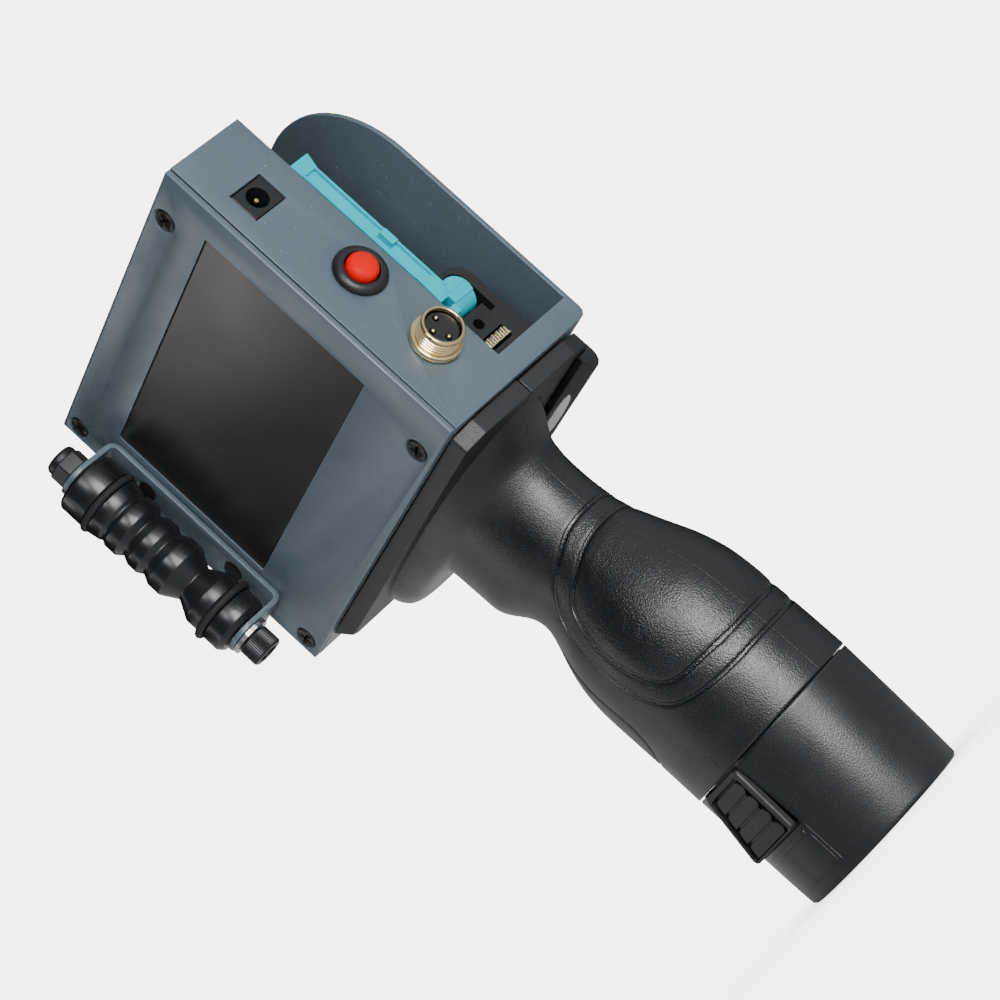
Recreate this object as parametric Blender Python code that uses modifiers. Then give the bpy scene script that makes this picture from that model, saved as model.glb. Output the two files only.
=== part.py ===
"""Handheld date code inkjet printer, as an assembly of separate pieces.

Frame: the printer stands on the flat foot of its battery at z = 0. +Z runs up the handle,
-X is the print face and the trigger side, +X the palm side with the sockets, and -Y the
screen side. Lengths below are in millimetres and are turned into metres when a mesh is made.
"""
import math

import bmesh
import bpy
from mathutils import Matrix, Vector

MM = 0.001
GAP = 0.3                      # clearance between two pieces that meet

# ---- driving dimensions -------------------------------------------------------------------

HEAD_FRONT = -81.0             # print face
HEAD_REAR = 40.0               # socket face
HEAD_SCREEN = -28.0            # outer face of the screen plate
HEAD_SIDE = 30.0               # outer face of the side plate
HEAD_BOTTOM = 145.0
HEAD_TOP = 243.0
SHEET = 1.5                    # sheet metal of the head
PLATE = 2.0                    # screen plate
BAY_NEAR = 0.3                 # cartridge bay, from the column to the side plate
BAY_FLOOR = 152.1

SCREEN_WINDOW = ((-65.6, 170.6), (30.4, 225.6))          # x, z of the two corners
PLATE_SCREWS = ((24.1, 238.0), (-76.8, 238.0), (24.1, 150.4), (-76.8, 150.4))

JACK = ((-19.9, 218.4), (-8.0, 227.8))                   # square opening, y, z
BUTTON = (-9.9, 191.3)                                   # y, z on the socket face
CONNECTOR = (-10.2, 165.4)
LATCH_HINGE = (33.5, 171.5)                              # x, z, axis along Y

STALL_NEAR = 1.0                                         # cartridge cradle, in y
STALL_FAR = 17.4
STALL_REAR = 36.0

ROLLER_AXIS = (-74.2, -41.0)                             # x, y, axis along Z
UPPER_RING = 215.2
LOWER_RING = 171.4
EAR_TOP = 226.8
EAR_BOTTOM = 161.6
BRACKET_SCREWS = ((-74.2, 210.6), (-74.2, 177.6))        # x, z, axis along Y

FLANGE_TOP = HEAD_BOTTOM - GAP
FLANGE_BOTTOM = 139.5
HANDLE_WALL = 3.0
SEAM = 39.5                    # joint between the handle and the battery foot
STEM_RADIUS = 21.5
STEM_TOP = 78.6
CELL_RADIUS = 9.1
TRIGGER_MIDDLE = 124.0
MOUNT_SCREWS = ((14.0, -14.0), (-46.0, -14.0), (14.0, 14.0), (-46.0, 14.0))     # x, y
HANDLE_SCREWS = ((-2.0, 122.0), (0.0, 95.0), (-44.0, 136.2))    # x, z, axis along Y
LATCH_FOOT = (-11.0, 12.5)      # a battery release latch: its x at the lower edge,
LATCH_LOW = 17.7               # its lower edge
LATCH_HIGH = SEAM - 0.6        # and its upper edge
LATCH_X = 1.0

# Sections of the handle, bottom to top: height, middle x, half length along -X, half length
# along +X, half width, and how square the front half is (2 is an ellipse).
HANDLE_SECTIONS = (
    (39.6, 2.8, 30.1, 30.1, 26.0, 2.0),
    (56.0, 2.5, 29.8, 29.8, 25.9, 2.0),
    (72.0, 1.8, 29.4, 29.4, 25.8, 2.0),
    (79.0, 1.6, 28.7, 28.7, 25.1, 2.0),
    (84.0, 1.4, 27.2, 27.2, 24.0, 2.0),
    (88.0, 1.3, 26.2, 26.2, 22.7, 2.0),
    (92.0, 1.2, 24.6, 24.6, 20.9, 2.0),
    (96.5, 1.1, 23.1, 23.1, 19.0, 2.0),
    (101.0, 0.1, 22.1, 22.1, 17.8, 2.0),
    (104.0, -1.2, 22.3, 22.3, 17.6, 2.0),
    (106.5, -3.3, 23.2, 23.2, 17.9, 2.0),
    (109.0, -5.2, 24.6, 24.6, 18.4, 2.0),
    (111.6, -6.8, 25.6, 25.6, 18.7, 2.0),
    (115.0, -7.0, 25.4, 25.4, 18.5, 2.0),
    (124.0, -7.3, 25.6, 25.6, 18.4, 2.0),
    (130.0, -7.2, 26.3, 26.8, 18.7, 2.0),
    (131.2, -7.2, 41.0, 27.4, 18.9, 2.2),
    (132.2, -7.1, 47.0, 28.1, 19.1, 2.4),
    (134.2, -6.6, 52.5, 30.0, 19.6, 2.5),
    (136.8, -6.2, 55.0, 33.2, 20.1, 2.6),
    (140.6, -6.0, 57.0, 38.0, 20.8, 2.6),
)

# Sections of the battery foot, bottom to top, in the same form.
FOOT_SECTIONS = (
    (0.0, 2.1, 28.3, 28.3, 24.7, 2.0),
    (0.8, 2.1, 28.8, 28.8, 25.2, 2.0),
    (17.0, 2.4, 29.4, 29.4, 25.6, 2.0),
    (SEAM - GAP, 2.8, 30.0, 30.0, 25.9, 2.0),
)

MATERIALS = {
    # name: base colour, roughness, metallic
    "chassis_paint": ((0.10, 0.13, 0.155), 0.42, 0.0),
    "black_plastic": ((0.013, 0.015, 0.017), 0.42, 0.0),
    "handle_plastic": ((0.012, 0.014, 0.016), 0.48, 0.0),
    "soft_grip": ((0.012, 0.013, 0.014), 0.6, 0.0),
    "screen_glass": ((0.006, 0.007, 0.008), 0.12, 0.0),
    "display": ((0.05, 0.05, 0.055), 0.5, 0.0),
    "circuit_board": ((0.02, 0.16, 0.07), 0.45, 0.0),
    "teal_plastic": ((0.0, 0.50, 0.58), 0.32, 0.0),
    "red_plastic": ((0.80, 0.02, 0.005), 0.3, 0.0),
    "rubber": ((0.012, 0.013, 0.014), 0.72, 0.0),
    "roller_plastic": ((0.014, 0.016, 0.019), 0.3, 0.0),
    "nickel": ((0.78, 0.70, 0.52), 0.2, 1.0),
    "gold": ((0.95, 0.72, 0.32), 0.22, 1.0),
    "steel": ((0.55, 0.56, 0.58), 0.3, 1.0),
    "black_steel": ((0.02, 0.02, 0.022), 0.38, 0.6),
    "spring_steel": ((0.6, 0.6, 0.62), 0.25, 1.0),
    "cell_wrap": ((0.02, 0.16, 0.42), 0.35, 0.0),
    "blank_inlay": ((0.85, 0.85, 0.83), 0.4, 0.0),
}

ROUND_STEPS = 24               # facets round a visible turned piece
FINE_STEPS = 12                # facets round a small one
RING_POINTS = 28               # points round a handle section


# ---- scene helpers ------------------------------------------------------------------------

def clear_scene():
    for obj in list(bpy.data.objects):
        bpy.data.objects.remove(obj, do_unlink=True)


def new_collection(name):
    collection = bpy.data.collections.new(name)
    bpy.context.scene.collection.children.link(collection)
    return collection


clear_scene()
PRINTER = new_collection("date_code_printer")
CUTTERS = new_collection("cutters")


def material(name):
    found = bpy.data.materials.get(name)
    if found:
        return found
    colour, roughness, metallic = MATERIALS[name]
    made = bpy.data.materials.new(name)
    made.use_nodes = True
    shader = made.node_tree.nodes["Principled BSDF"]
    shader.inputs["Base Color"].default_value = (*colour, 1.0)
    shader.inputs["Roughness"].default_value = roughness
    shader.inputs["Metallic"].default_value = metallic
    return made


def finish(obj, finish_name, smooth=True):
    """Give a piece its material and its shading."""
    obj.data.materials.clear()
    obj.data.materials.append(material(finish_name))
    if smooth:
        obj.data.shade_smooth()
        obj.data.set_sharp_from_angle(angle=math.radians(32))
    return obj


def to_object(name, bm, finish_name=None, origin=(0, 0, 0)):
    """Turn a bmesh in millimetres into an object whose origin is at the given point."""
    bmesh.ops.translate(bm, verts=bm.verts, vec=-Vector(origin))
    bmesh.ops.scale(bm, verts=bm.verts, vec=(MM, MM, MM))
    bmesh.ops.recalc_face_normals(bm, faces=bm.faces)
    mesh = bpy.data.meshes.new(name)
    bm.to_mesh(mesh)
    bm.free()
    obj = bpy.data.objects.new(name, mesh)
    obj.location = Vector(origin) * MM
    if finish_name:
        PRINTER.objects.link(obj)
        finish(obj, finish_name)
    else:
        CUTTERS.objects.link(obj)
        hide_cutter(obj)
    return obj


def hide_cutter(obj):
    obj.hide_render = True
    obj.display_type = "WIRE"


def boolean(target, tool, operation="DIFFERENCE"):
    modifier = target.modifiers.new(tool.name, "BOOLEAN")
    modifier.operation = operation
    modifier.object = tool


def frozen(obj, name, collection):
    """A new object that holds the shape another one has after its modifiers, with the points
    that fall on each other joined."""
    graph = bpy.context.evaluated_depsgraph_get()
    mesh = bpy.data.meshes.new_from_object(obj.evaluated_get(graph))
    mesh.name = name
    bm = bmesh.new()
    bm.from_mesh(mesh)
    bmesh.ops.remove_doubles(bm, verts=bm.verts, dist=0.000005)
    bm.to_mesh(mesh)
    bm.free()
    made = bpy.data.objects.new(name, mesh)
    made.matrix_world = obj.matrix_world
    collection.objects.link(made)
    if collection is CUTTERS:
        hide_cutter(made)
    return made


def bevel(obj, width, segments=2, angle=40):
    modifier = obj.modifiers.new("edges", "BEVEL")
    modifier.width = width * MM
    modifier.segments = segments
    modifier.limit_method = "ANGLE"
    modifier.angle_limit = math.radians(angle)


# ---- shapes -------------------------------------------------------------------------------

AXES = {
    "+X": Matrix.Rotation(math.pi / 2, 4, "Y"),
    "-X": Matrix.Rotation(-math.pi / 2, 4, "Y"),
    "+Y": Matrix.Rotation(-math.pi / 2, 4, "X"),
    "-Y": Matrix.Rotation(math.pi / 2, 4, "X"),
    "+Z": Matrix.Identity(4),
    "-Z": Matrix.Rotation(math.pi, 4, "X"),
}


def box(name, low, high, finish_name=None, origin=None, edge=0.0):
    bm = bmesh.new()
    bmesh.ops.create_cube(bm, size=1.0)
    size = Vector(high) - Vector(low)
    middle = (Vector(high) + Vector(low)) / 2
    bmesh.ops.scale(bm, verts=bm.verts, vec=size)
    bmesh.ops.translate(bm, verts=bm.verts, vec=middle)
    obj = to_object(name, bm, finish_name, origin or middle)
    if edge:
        bevel(obj, edge)
    return obj


def cylinder(name, start, axis, radius, length, finish_name=None, segments=FINE_STEPS,
             end_radius=None, origin=None):
    """A cylinder, cone or, with few segments, a prism, from its start along an axis."""
    bm = bmesh.new()
    bmesh.ops.create_cone(bm, cap_ends=True, segments=segments, radius1=radius,
                          radius2=radius if end_radius is None else end_radius, depth=length)
    bmesh.ops.translate(bm, verts=bm.verts, vec=(0, 0, length / 2))
    bmesh.ops.transform(bm, verts=bm.verts, matrix=Matrix.Translation(start) @ AXES[axis])
    return to_object(name, bm, finish_name, origin or start)


def turned(name, profile, start, axis, finish_name=None, steps=ROUND_STEPS):
    """A profile of (radius, height) turned about an axis. It runs from the top of its outer
    side to the bottom. One that ends away from the axis is closed up its bore."""
    bm = bmesh.new()
    verts = [bm.verts.new((radius, 0, height)) for radius, height in profile]
    for first, second in zip(verts, verts[1:]):
        bm.edges.new((first, second))
    if profile[0][0] > 0:
        bm.edges.new((verts[-1], verts[0]))
    bmesh.ops.scale(bm, verts=bm.verts, vec=(MM, MM, MM))
    mesh = bpy.data.meshes.new(name)
    bm.to_mesh(mesh)
    bm.free()
    obj = bpy.data.objects.new(name, mesh)
    obj.matrix_world = Matrix.Translation(Vector(start) * MM) @ AXES[axis]
    screw = obj.modifiers.new("turn", "SCREW")
    screw.axis = "Z"
    screw.angle = 2 * math.pi
    screw.steps = steps
    screw.render_steps = steps
    screw.use_merge_vertices = True
    screw.merge_threshold = 0.00001
    if finish_name:
        PRINTER.objects.link(obj)
        screw.use_smooth_shade = True
        obj.data.materials.append(material(finish_name))
    else:
        CUTTERS.objects.link(obj)
        hide_cutter(obj)
    return obj


def rounded(corners, steps=5):
    """Replace each (x, y, radius) corner of a closed outline by an arc."""
    points = []
    count = len(corners)
    for index, (x, y, radius) in enumerate(corners):
        here = Vector((x, y))
        if radius <= 0:
            points.append(here)
            continue
        before = (Vector(corners[index - 1][:2]) - here).normalized()
        after = (Vector(corners[(index + 1) % count][:2]) - here).normalized()
        half = before.angle(after) / 2
        reach = radius / math.tan(half)
        centre = here + (before + after).normalized() * radius / math.sin(half)
        first = here + before * reach - centre
        last = here + after * reach - centre
        turn = first.angle_signed(last)
        for step in range(steps + 1):
            angle = -turn * step / steps
            points.append(centre + Matrix.Rotation(angle, 2) @ first)
    return points


PLANES = {
    # outline axes: the matrix takes (first, second, thickness) to world axes
    "XZ": Matrix(((1, 0, 0, 0), (0, 0, 1, 0), (0, 1, 0, 0), (0, 0, 0, 1))),
    "YZ": Matrix(((0, 0, 1, 0), (1, 0, 0, 0), (0, 1, 0, 0), (0, 0, 0, 1))),
    "XY": Matrix.Identity(4),
}


def flat(name, outline, low, high, plane, finish_name=None, origin=(0, 0, 0)):
    """A flat outline with thickness from low to high across its plane."""
    curve = bpy.data.curves.new(name, "CURVE")
    curve.dimensions = "2D"
    curve.fill_mode = "BOTH"
    curve.extrude = (high - low) / 2 * MM
    spline = curve.splines.new("POLY")
    spline.points.add(len(outline) - 1)
    for point, corner in zip(spline.points, outline):
        point.co = (corner[0] * MM, corner[1] * MM, 0, 1)
    spline.use_cyclic_u = True
    holder = bpy.data.objects.new(name, curve)
    CUTTERS.objects.link(holder)
    graph = bpy.context.evaluated_depsgraph_get()
    mesh = bpy.data.meshes.new_from_object(holder.evaluated_get(graph))
    bpy.data.objects.remove(holder, do_unlink=True)
    bm = bmesh.new()
    bm.from_mesh(mesh)
    bmesh.ops.remove_doubles(bm, verts=bm.verts, dist=0.00001)
    bmesh.ops.scale(bm, verts=bm.verts, vec=(1 / MM, 1 / MM, 1 / MM))
    bmesh.ops.translate(bm, verts=bm.verts, vec=(0, 0, (high + low) / 2))
    bmesh.ops.transform(bm, verts=bm.verts, matrix=PLANES[plane])
    return to_object(name, bm, finish_name, origin)


def section_ring(section, inset=0.0, count=RING_POINTS):
    """Points round one section, pulled in by an inset."""
    height, middle, front, rear, half_width, squareness = section
    points = []
    for index in range(count):
        angle = 2 * math.pi * index / count
        along = math.cos(angle)
        across = math.sin(angle)
        power = 1.0 if along > 0 else 2.0 / squareness
        length = (rear if along > 0 else front) - inset
        x = middle + length * math.copysign(abs(along) ** power, along)
        y = (half_width - inset) * math.copysign(abs(across) ** power, across)
        points.append((x, y, height))
    return points


def loft(name, rings, finish_name=None, origin=(0, 0, 0)):
    """A closed solid through rings of points that match one for one."""
    bm = bmesh.new()
    layers = [[bm.verts.new(point) for point in ring] for ring in rings]
    count = len(layers[0])
    for lower, upper in zip(layers, layers[1:]):
        for index in range(count):
            following = (index + 1) % count
            bm.faces.new((lower[index], lower[following], upper[following], upper[index]))
    bm.faces.new(list(reversed(layers[0])))
    bm.faces.new(layers[-1])
    return to_object(name, bm, finish_name, origin)


def between(sections, low, high):
    """The sections from low to high, with one made at each end."""
    picked = [blend_section(sections, low)]
    picked += [section for section in sections if low < section[0] < high]
    picked.append(blend_section(sections, high))
    return picked


def blend_section(sections, height):
    for lower, upper in zip(sections, sections[1:]):
        if lower[0] <= height <= upper[0]:
            share = (height - lower[0]) / (upper[0] - lower[0])
            mixed = [a + (b - a) * share for a, b in zip(lower, upper)]
            return (height, *mixed[1:])
    edge = sections[0] if height < sections[0][0] else sections[-1]
    return (height, *edge[1:])


def coil(name, start, axis, radius, wire, length, turns, finish_name):
    """A compression spring along an axis, from its start."""
    curve = bpy.data.curves.new(name, "CURVE")
    curve.dimensions = "3D"
    curve.bevel_depth = wire * MM
    curve.bevel_resolution = 1
    curve.use_fill_caps = True
    spline = curve.splines.new("POLY")
    per_turn = 8
    count = int(turns * per_turn) + 1
    spline.points.add(count - 1)
    for index, point in enumerate(spline.points):
        angle = 2 * math.pi * index / per_turn
        rise = length * index / (count - 1)
        point.co = (radius * math.cos(angle) * MM, radius * math.sin(angle) * MM, rise * MM, 1)
    obj = bpy.data.objects.new(name, curve)
    obj.matrix_world = Matrix.Translation(Vector(start) * MM) @ AXES[axis]
    PRINTER.objects.link(obj)
    curve.materials.append(material(finish_name))
    return obj


def hex_nut(name, start, axis, corner_radius, bore_radius, height, finish_name):
    nut = cylinder(name, start, axis, corner_radius, height, finish_name, 6)
    below = Vector(start) - AXES[axis].to_3x3() @ Vector((0, 0, 1))
    boolean(nut, cylinder(f"{name}_bore", below, axis, bore_radius, height + 2, segments=20))
    return nut


# ---- head: sheet metal --------------------------------------------------------------------

def chassis_shell():
    """Box with a tray for the electronics, open at the screen, and a bay for the cartridge,
    open at the top and the rear. Its side plate has one big round corner."""
    edge = 2.6
    tray_face = HEAD_SCREEN + PLATE + GAP
    outline = rounded([
        (tray_face, HEAD_BOTTOM, 0),
        (HEAD_SIDE, HEAD_BOTTOM, edge),
        (HEAD_SIDE, HEAD_TOP, 0),
        (tray_face, HEAD_TOP, 0),
    ], steps=3)
    shell = flat("chassis_shell", outline, HEAD_FRONT, HEAD_REAR, "YZ", "chassis_paint")

    tray = box("tray_space",
               (HEAD_FRONT + SHEET, tray_face - 1, HEAD_BOTTOM + SHEET),
               (HEAD_REAR - SHEET, BAY_NEAR - SHEET, HEAD_TOP - SHEET))
    for index, (x, z) in enumerate(PLATE_SCREWS):
        post = box(f"screw_post_{index}", (x - 4, tray_face - 2, z - 4), (x + 4, -17, z + 4))
        boolean(tray, post)
        edge_reach = box(f"post_edge_{index}",
                         (x - 4, tray_face - 2, min(z, HEAD_BOTTOM) if z < 200 else z),
                         (x + 4, -17, z if z < 200 else HEAD_TOP))
        boolean(tray, edge_reach)
        if x < 0:
            side_reach = box(f"post_side_{index}", (HEAD_FRONT, tray_face - 2, z - 4),
                             (x, -17, z + 4))
            boolean(tray, side_reach)
    boolean(shell, tray)

    inner_side = HEAD_SIDE - SHEET
    bay = box("bay_space", (HEAD_FRONT + SHEET, BAY_NEAR, BAY_FLOOR),
              (HEAD_REAR + 1, inner_side, HEAD_TOP + 1))
    boolean(shell, bay)
    under = box("under_bay_space", (HEAD_FRONT - 1, BAY_NEAR + SHEET, HEAD_BOTTOM + SHEET),
                (HEAD_REAR - SHEET, inner_side, BAY_FLOOR - SHEET))
    boolean(shell, under)

    corner = 34.0
    sweep = [(HEAD_REAR - corner * (1 - math.sin(angle)), HEAD_TOP - corner * (1 - math.cos(angle)))
             for angle in [math.pi / 2 * step / 14 for step in range(15)]]
    outside = sweep + [(HEAD_REAR + 2, HEAD_TOP - corner), (HEAD_REAR + 2, HEAD_TOP + 2),
                       (HEAD_REAR - corner, HEAD_TOP + 2)]
    boolean(shell, flat("corner_waste", outside, BAY_NEAR + 0.2, HEAD_SIDE + 1, "XZ"))

    (jack_y0, jack_z0), (jack_y1, jack_z1) = JACK
    boolean(shell, box("jack_hole", (HEAD_REAR - 3, jack_y0, jack_z0),
                       (HEAD_REAR + 1, jack_y1, jack_z1)))
    for name, (y, z), radius in (("button_hole", BUTTON, 6.2), ("connector_hole", CONNECTOR, 6.3)):
        boolean(shell, cylinder(name, (HEAD_REAR - 3, y, z), "+X", radius, 4, segments=24))
    boolean(shell, box("print_window", (HEAD_FRONT - 1, 6, 168), (HEAD_FRONT + 3, 16, 200)))
    boolean(shell, box("cable_window", (-11, -9, HEAD_BOTTOM - 1), (3, -2.2, HEAD_BOTTOM + 3)))

    for index, (x, z) in enumerate(PLATE_SCREWS):
        boolean(shell, cylinder(f"post_bore_{index}", (x, tray_face - 1, z), "+Y", 1.75, 8.2,
                                segments=12))
    for index, (x, y) in enumerate(MOUNT_SCREWS):
        boolean(shell, cylinder(f"floor_bore_{index}", (x, y, HEAD_BOTTOM - 1), "+Z", 2.1, 3,
                                segments=12))
    return shell


def screen_plate():
    plate = box("screen_plate", (HEAD_FRONT, HEAD_SCREEN, HEAD_BOTTOM),
                (HEAD_REAR, HEAD_SCREEN + PLATE, HEAD_TOP), "chassis_paint")
    bevel(plate, 0.5, 2)
    (x0, z0), (x1, z1) = SCREEN_WINDOW
    boolean(plate, box("window", (x0, HEAD_SCREEN - 1, z0), (x1, HEAD_SCREEN + PLATE + 1, z1)))
    for index, (x, z) in enumerate(PLATE_SCREWS):
        boolean(plate, cylinder(f"plate_bore_{index}", (x, HEAD_SCREEN - 1, z), "+Y", 2.3, 4,
                                segments=12))
        boolean(plate, cylinder(f"plate_sink_{index}", (x, HEAD_SCREEN - 0.5, z), "+Y", 4.4, 2.0,
                                end_radius=2.4, segments=16))
    for index, (x, z) in enumerate(BRACKET_SCREWS):
        boolean(plate, cylinder(f"bracket_bore_{index}", (x, HEAD_SCREEN - 1, z), "+Y", 1.8, 4,
                                segments=12))


def plate_screws():
    """Countersunk machine screws with a cross recess."""
    face = HEAD_SCREEN + 0.15
    for index, (x, z) in enumerate(PLATE_SCREWS):
        profile = [(0, 0), (3.1, 0), (3.1, -0.3), (1.4, -1.8), (1.4, -9.0), (0, -9.0)]
        screw = turned(f"plate_screw_{index + 1}", profile, (x, face, z), "-Y", "black_steel",
                       FINE_STEPS)
        for turn, (half_x, half_z) in enumerate(((1.7, 0.3), (0.3, 1.7))):
            slot = box(f"cross_{index}_{turn}", (x - half_x, face - 1, z - half_z),
                       (x + half_x, face + 0.9, z + half_z))
            boolean(screw, slot)


def display():
    (x0, z0), (x1, z1) = SCREEN_WINDOW
    box("lcd_glass", (x0 + GAP, HEAD_SCREEN + 0.3, z0 + GAP),
        (x1 - GAP, HEAD_SCREEN + PLATE, z1 - GAP), "screen_glass", edge=0.15)
    box("lcd_module", (-70.2, HEAD_SCREEN + PLATE + GAP, 164.6), (35.0, -21.4, 231.6), "display",
        edge=0.3)
    board = box("main_board", (-64, -15.4, 160), (18, -13.8, 236), "circuit_board")
    for index, (x, z) in enumerate(((-60, 164), (14, 164), (-60, 232), (14, 232))):
        boolean(board, cylinder(f"board_bore_{index}", (x, -17, z), "+Y", 1.6, 5, segments=12))


# ---- head: sockets and button -------------------------------------------------------------

def charging_socket():
    (y0, z0), (y1, z1) = JACK
    middle = ((y0 + y1) / 2, (z0 + z1) / 2)
    front = HEAD_REAR - 0.4
    depth = 10.0
    body = box("dc_jack", (front - 13.5, y0 + GAP, z0 + GAP), (front, y1 - GAP, z1 - GAP),
               "black_plastic", edge=0.3)
    boolean(body, cylinder("jack_bore", (front - depth, *middle), "+X", 3.2, depth + 1,
                           segments=20))
    pin = [(0, depth - 1.2), (0.6, depth - 1.2), (1.0, depth - 1.9), (1.0, GAP), (0, GAP)]
    turned("dc_jack_pin", pin, (front - depth, *middle), "+X", "nickel", 12)


def push_button():
    y, z = BUTTON
    face = (HEAD_REAR, y, z)
    turned("button_bezel", [
        (5.4, 1.9), (6.3, 2.2), (7.2, 1.6), (7.5, 0.9), (7.5, GAP), (5.9, GAP), (5.9, -10.0),
        (5.2, -10.0), (5.2, 0.6),
    ], face, "+X", "black_plastic")
    turned("button_cap", [
        (0, 4.6), (2.0, 4.45), (3.6, 3.9), (4.4, 3.1), (4.7, 2.1), (4.7, -4.0), (0, -4.0),
    ], face, "+X", "red_plastic")
    hex_nut("button_nut", (HEAD_REAR - 4.2, y, z), "+X", 8.2, 6.3, 2.3, "steel")
    coil("button_spring", (HEAD_REAR - 9.7, y, z), "+X", 3.0, 0.3, 5.0, 2, "spring_steel")
    box("button_switch", (20.5, y - 4.5, z - 4.5), (HEAD_REAR - 10.4, y + 4.5, z + 4.5),
        "black_plastic", edge=0.4)


def connector():
    """Three-pole threaded panel connector with a round flange."""
    y, z = CONNECTOR
    face = (HEAD_REAR, y, z)
    turned("connector_shell", [
        (4.95, 7.4), (5.6, 7.4), (5.95, 7.0), (5.95, 2.3), (7.1, 2.0), (7.1, GAP), (5.9, GAP),
        (5.9, -9.0), (4.95, -9.0),
    ], face, "+X", "nickel")
    turned("connector_insert", [(0, 5.9), (4.6, 5.9), (4.6, -10.0), (0, -10.0)], face, "+X",
           "black_plastic", 24)
    insert = bpy.data.objects["connector_insert"]
    pin_circle = 3.0
    for index, degrees in enumerate((74, 164, 254)):
        angle = math.radians(degrees)
        start = (HEAD_REAR + 2.0, y + pin_circle * math.cos(angle),
                 z + pin_circle * math.sin(angle))
        boolean(insert, cylinder(f"pin_bore_{index}", start, "+X", 0.95, 5, segments=10))
        turned(f"connector_pin_{index + 1}",
               [(0, 4.8), (0.3, 4.8), (0.55, 4.4), (0.55, GAP), (0, GAP)], start, "+X",
               "gold", 8)
    nut = hex_nut("connector_nut", (HEAD_REAR - 4.4, y, z), "+X", 7.6, 6.2, 2.5, "nickel")
    nut.rotation_euler.x = math.radians(30)      # a flat faces the bay wall


# ---- head: cartridge cradle ---------------------------------------------------------------

def pen_stall():
    """Cradle for the ink cartridge: a tray with two walls, an end block with a round hole,
    and an upright arch that carries the latch's pin."""
    floor = BAY_FLOOR + GAP
    stall = box("pen_stall", (-74, STALL_NEAR, floor), (STALL_REAR, STALL_FAR, 165.8),
                "black_plastic")
    wall = 1.6
    boolean(stall, box("cradle_space", (-75, STALL_NEAR + wall, floor + 3),
                       (25, STALL_FAR - wall, 170)))
    boolean(stall, box("block_step", (24, 12.2, 162.8), (STALL_REAR + 1, STALL_FAR - wall, 170)))
    boolean(stall, box("strip_seat", (30.6, 2.0, 154.3), (STALL_REAR + 1, 11.2, 158.4)))

    arch_outline = rounded([
        (STALL_FAR, 160, 0), (STALL_FAR, 178.6, 5.5), (STALL_NEAR, 178.6, 0), (STALL_NEAR, 177.1, 0),
        (14.4, 177.1, 3.6), (14.4, 160, 0),
    ], steps=4)
    arch = flat("latch_arch", arch_outline, 30.5, STALL_REAR, "YZ")
    boolean(stall, arch, "UNION")
    boolean(stall, cylinder("block_hole", (STALL_REAR - 7, 6.4, 162.1), "+X", 1.6, 9,
                            segments=14))
    x, z = LATCH_HINGE
    boolean(stall, cylinder("pin_seat", (x, 13.5, z), "+Y", 1.1, 5, segments=12))


def contact_board():
    board = box("contact_board", (30.9, 2.3, 154.7), (37.4, 10.9, 157.8), "gold")
    for index in range(9):
        y = 2.78 + 0.93 * index
        boolean(board, box(f"finger_gap_{index}", (30, y, 155.8), (38, y + 0.32, 159)))


def stall_latch():
    """Latch bar with raised edges, a thumb tab on top and a drum round the hinge pin."""
    x, z = LATCH_HINGE
    face = HEAD_REAR - 1.4
    latch = box("stall_latch", (face - 2.0, 1.7, z), (face - 0.6, 7.0, 224.9), "teal_plastic",
                origin=(x, 6.5, z))
    for side, (low, high) in enumerate(((1.7, 2.5), (6.2, 7.0))):
        boolean(latch, box(f"edge_rib_{side}", (face - 1.9, low, z + 0.5),
                           (face, high, 220.6)), "UNION")
    tab = flat("thumb_tab", [(1.2, 225.0), (8.4, 225.0), (7.05, 220.6), (1.6, 220.6)],
               face - 2.2, face, "YZ")
    boolean(latch, tab, "UNION")
    drum = cylinder("hinge_drum", (x, 1.1, z), "+Y", 5.0, 10.9, segments=24)
    boolean(latch, drum, "UNION")
    boolean(latch, box("bar_window", (face - 4, 4.0, 191.7), (face + 1, 6.4, 196.3)))
    boolean(latch, box("pin_slot", (x + 0.5, 0.5, z - 0.7), (face + 1, 4.4, z + 0.7)))
    boolean(latch, cylinder("drum_bore", (x, 0.5, z), "+Y", 1.1, 13, segments=12))
    cylinder("latch_pin", (x, 1.0, z), "+Y", 0.8, 16.0, "steel", 12)


# ---- guide roller -------------------------------------------------------------------------

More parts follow.
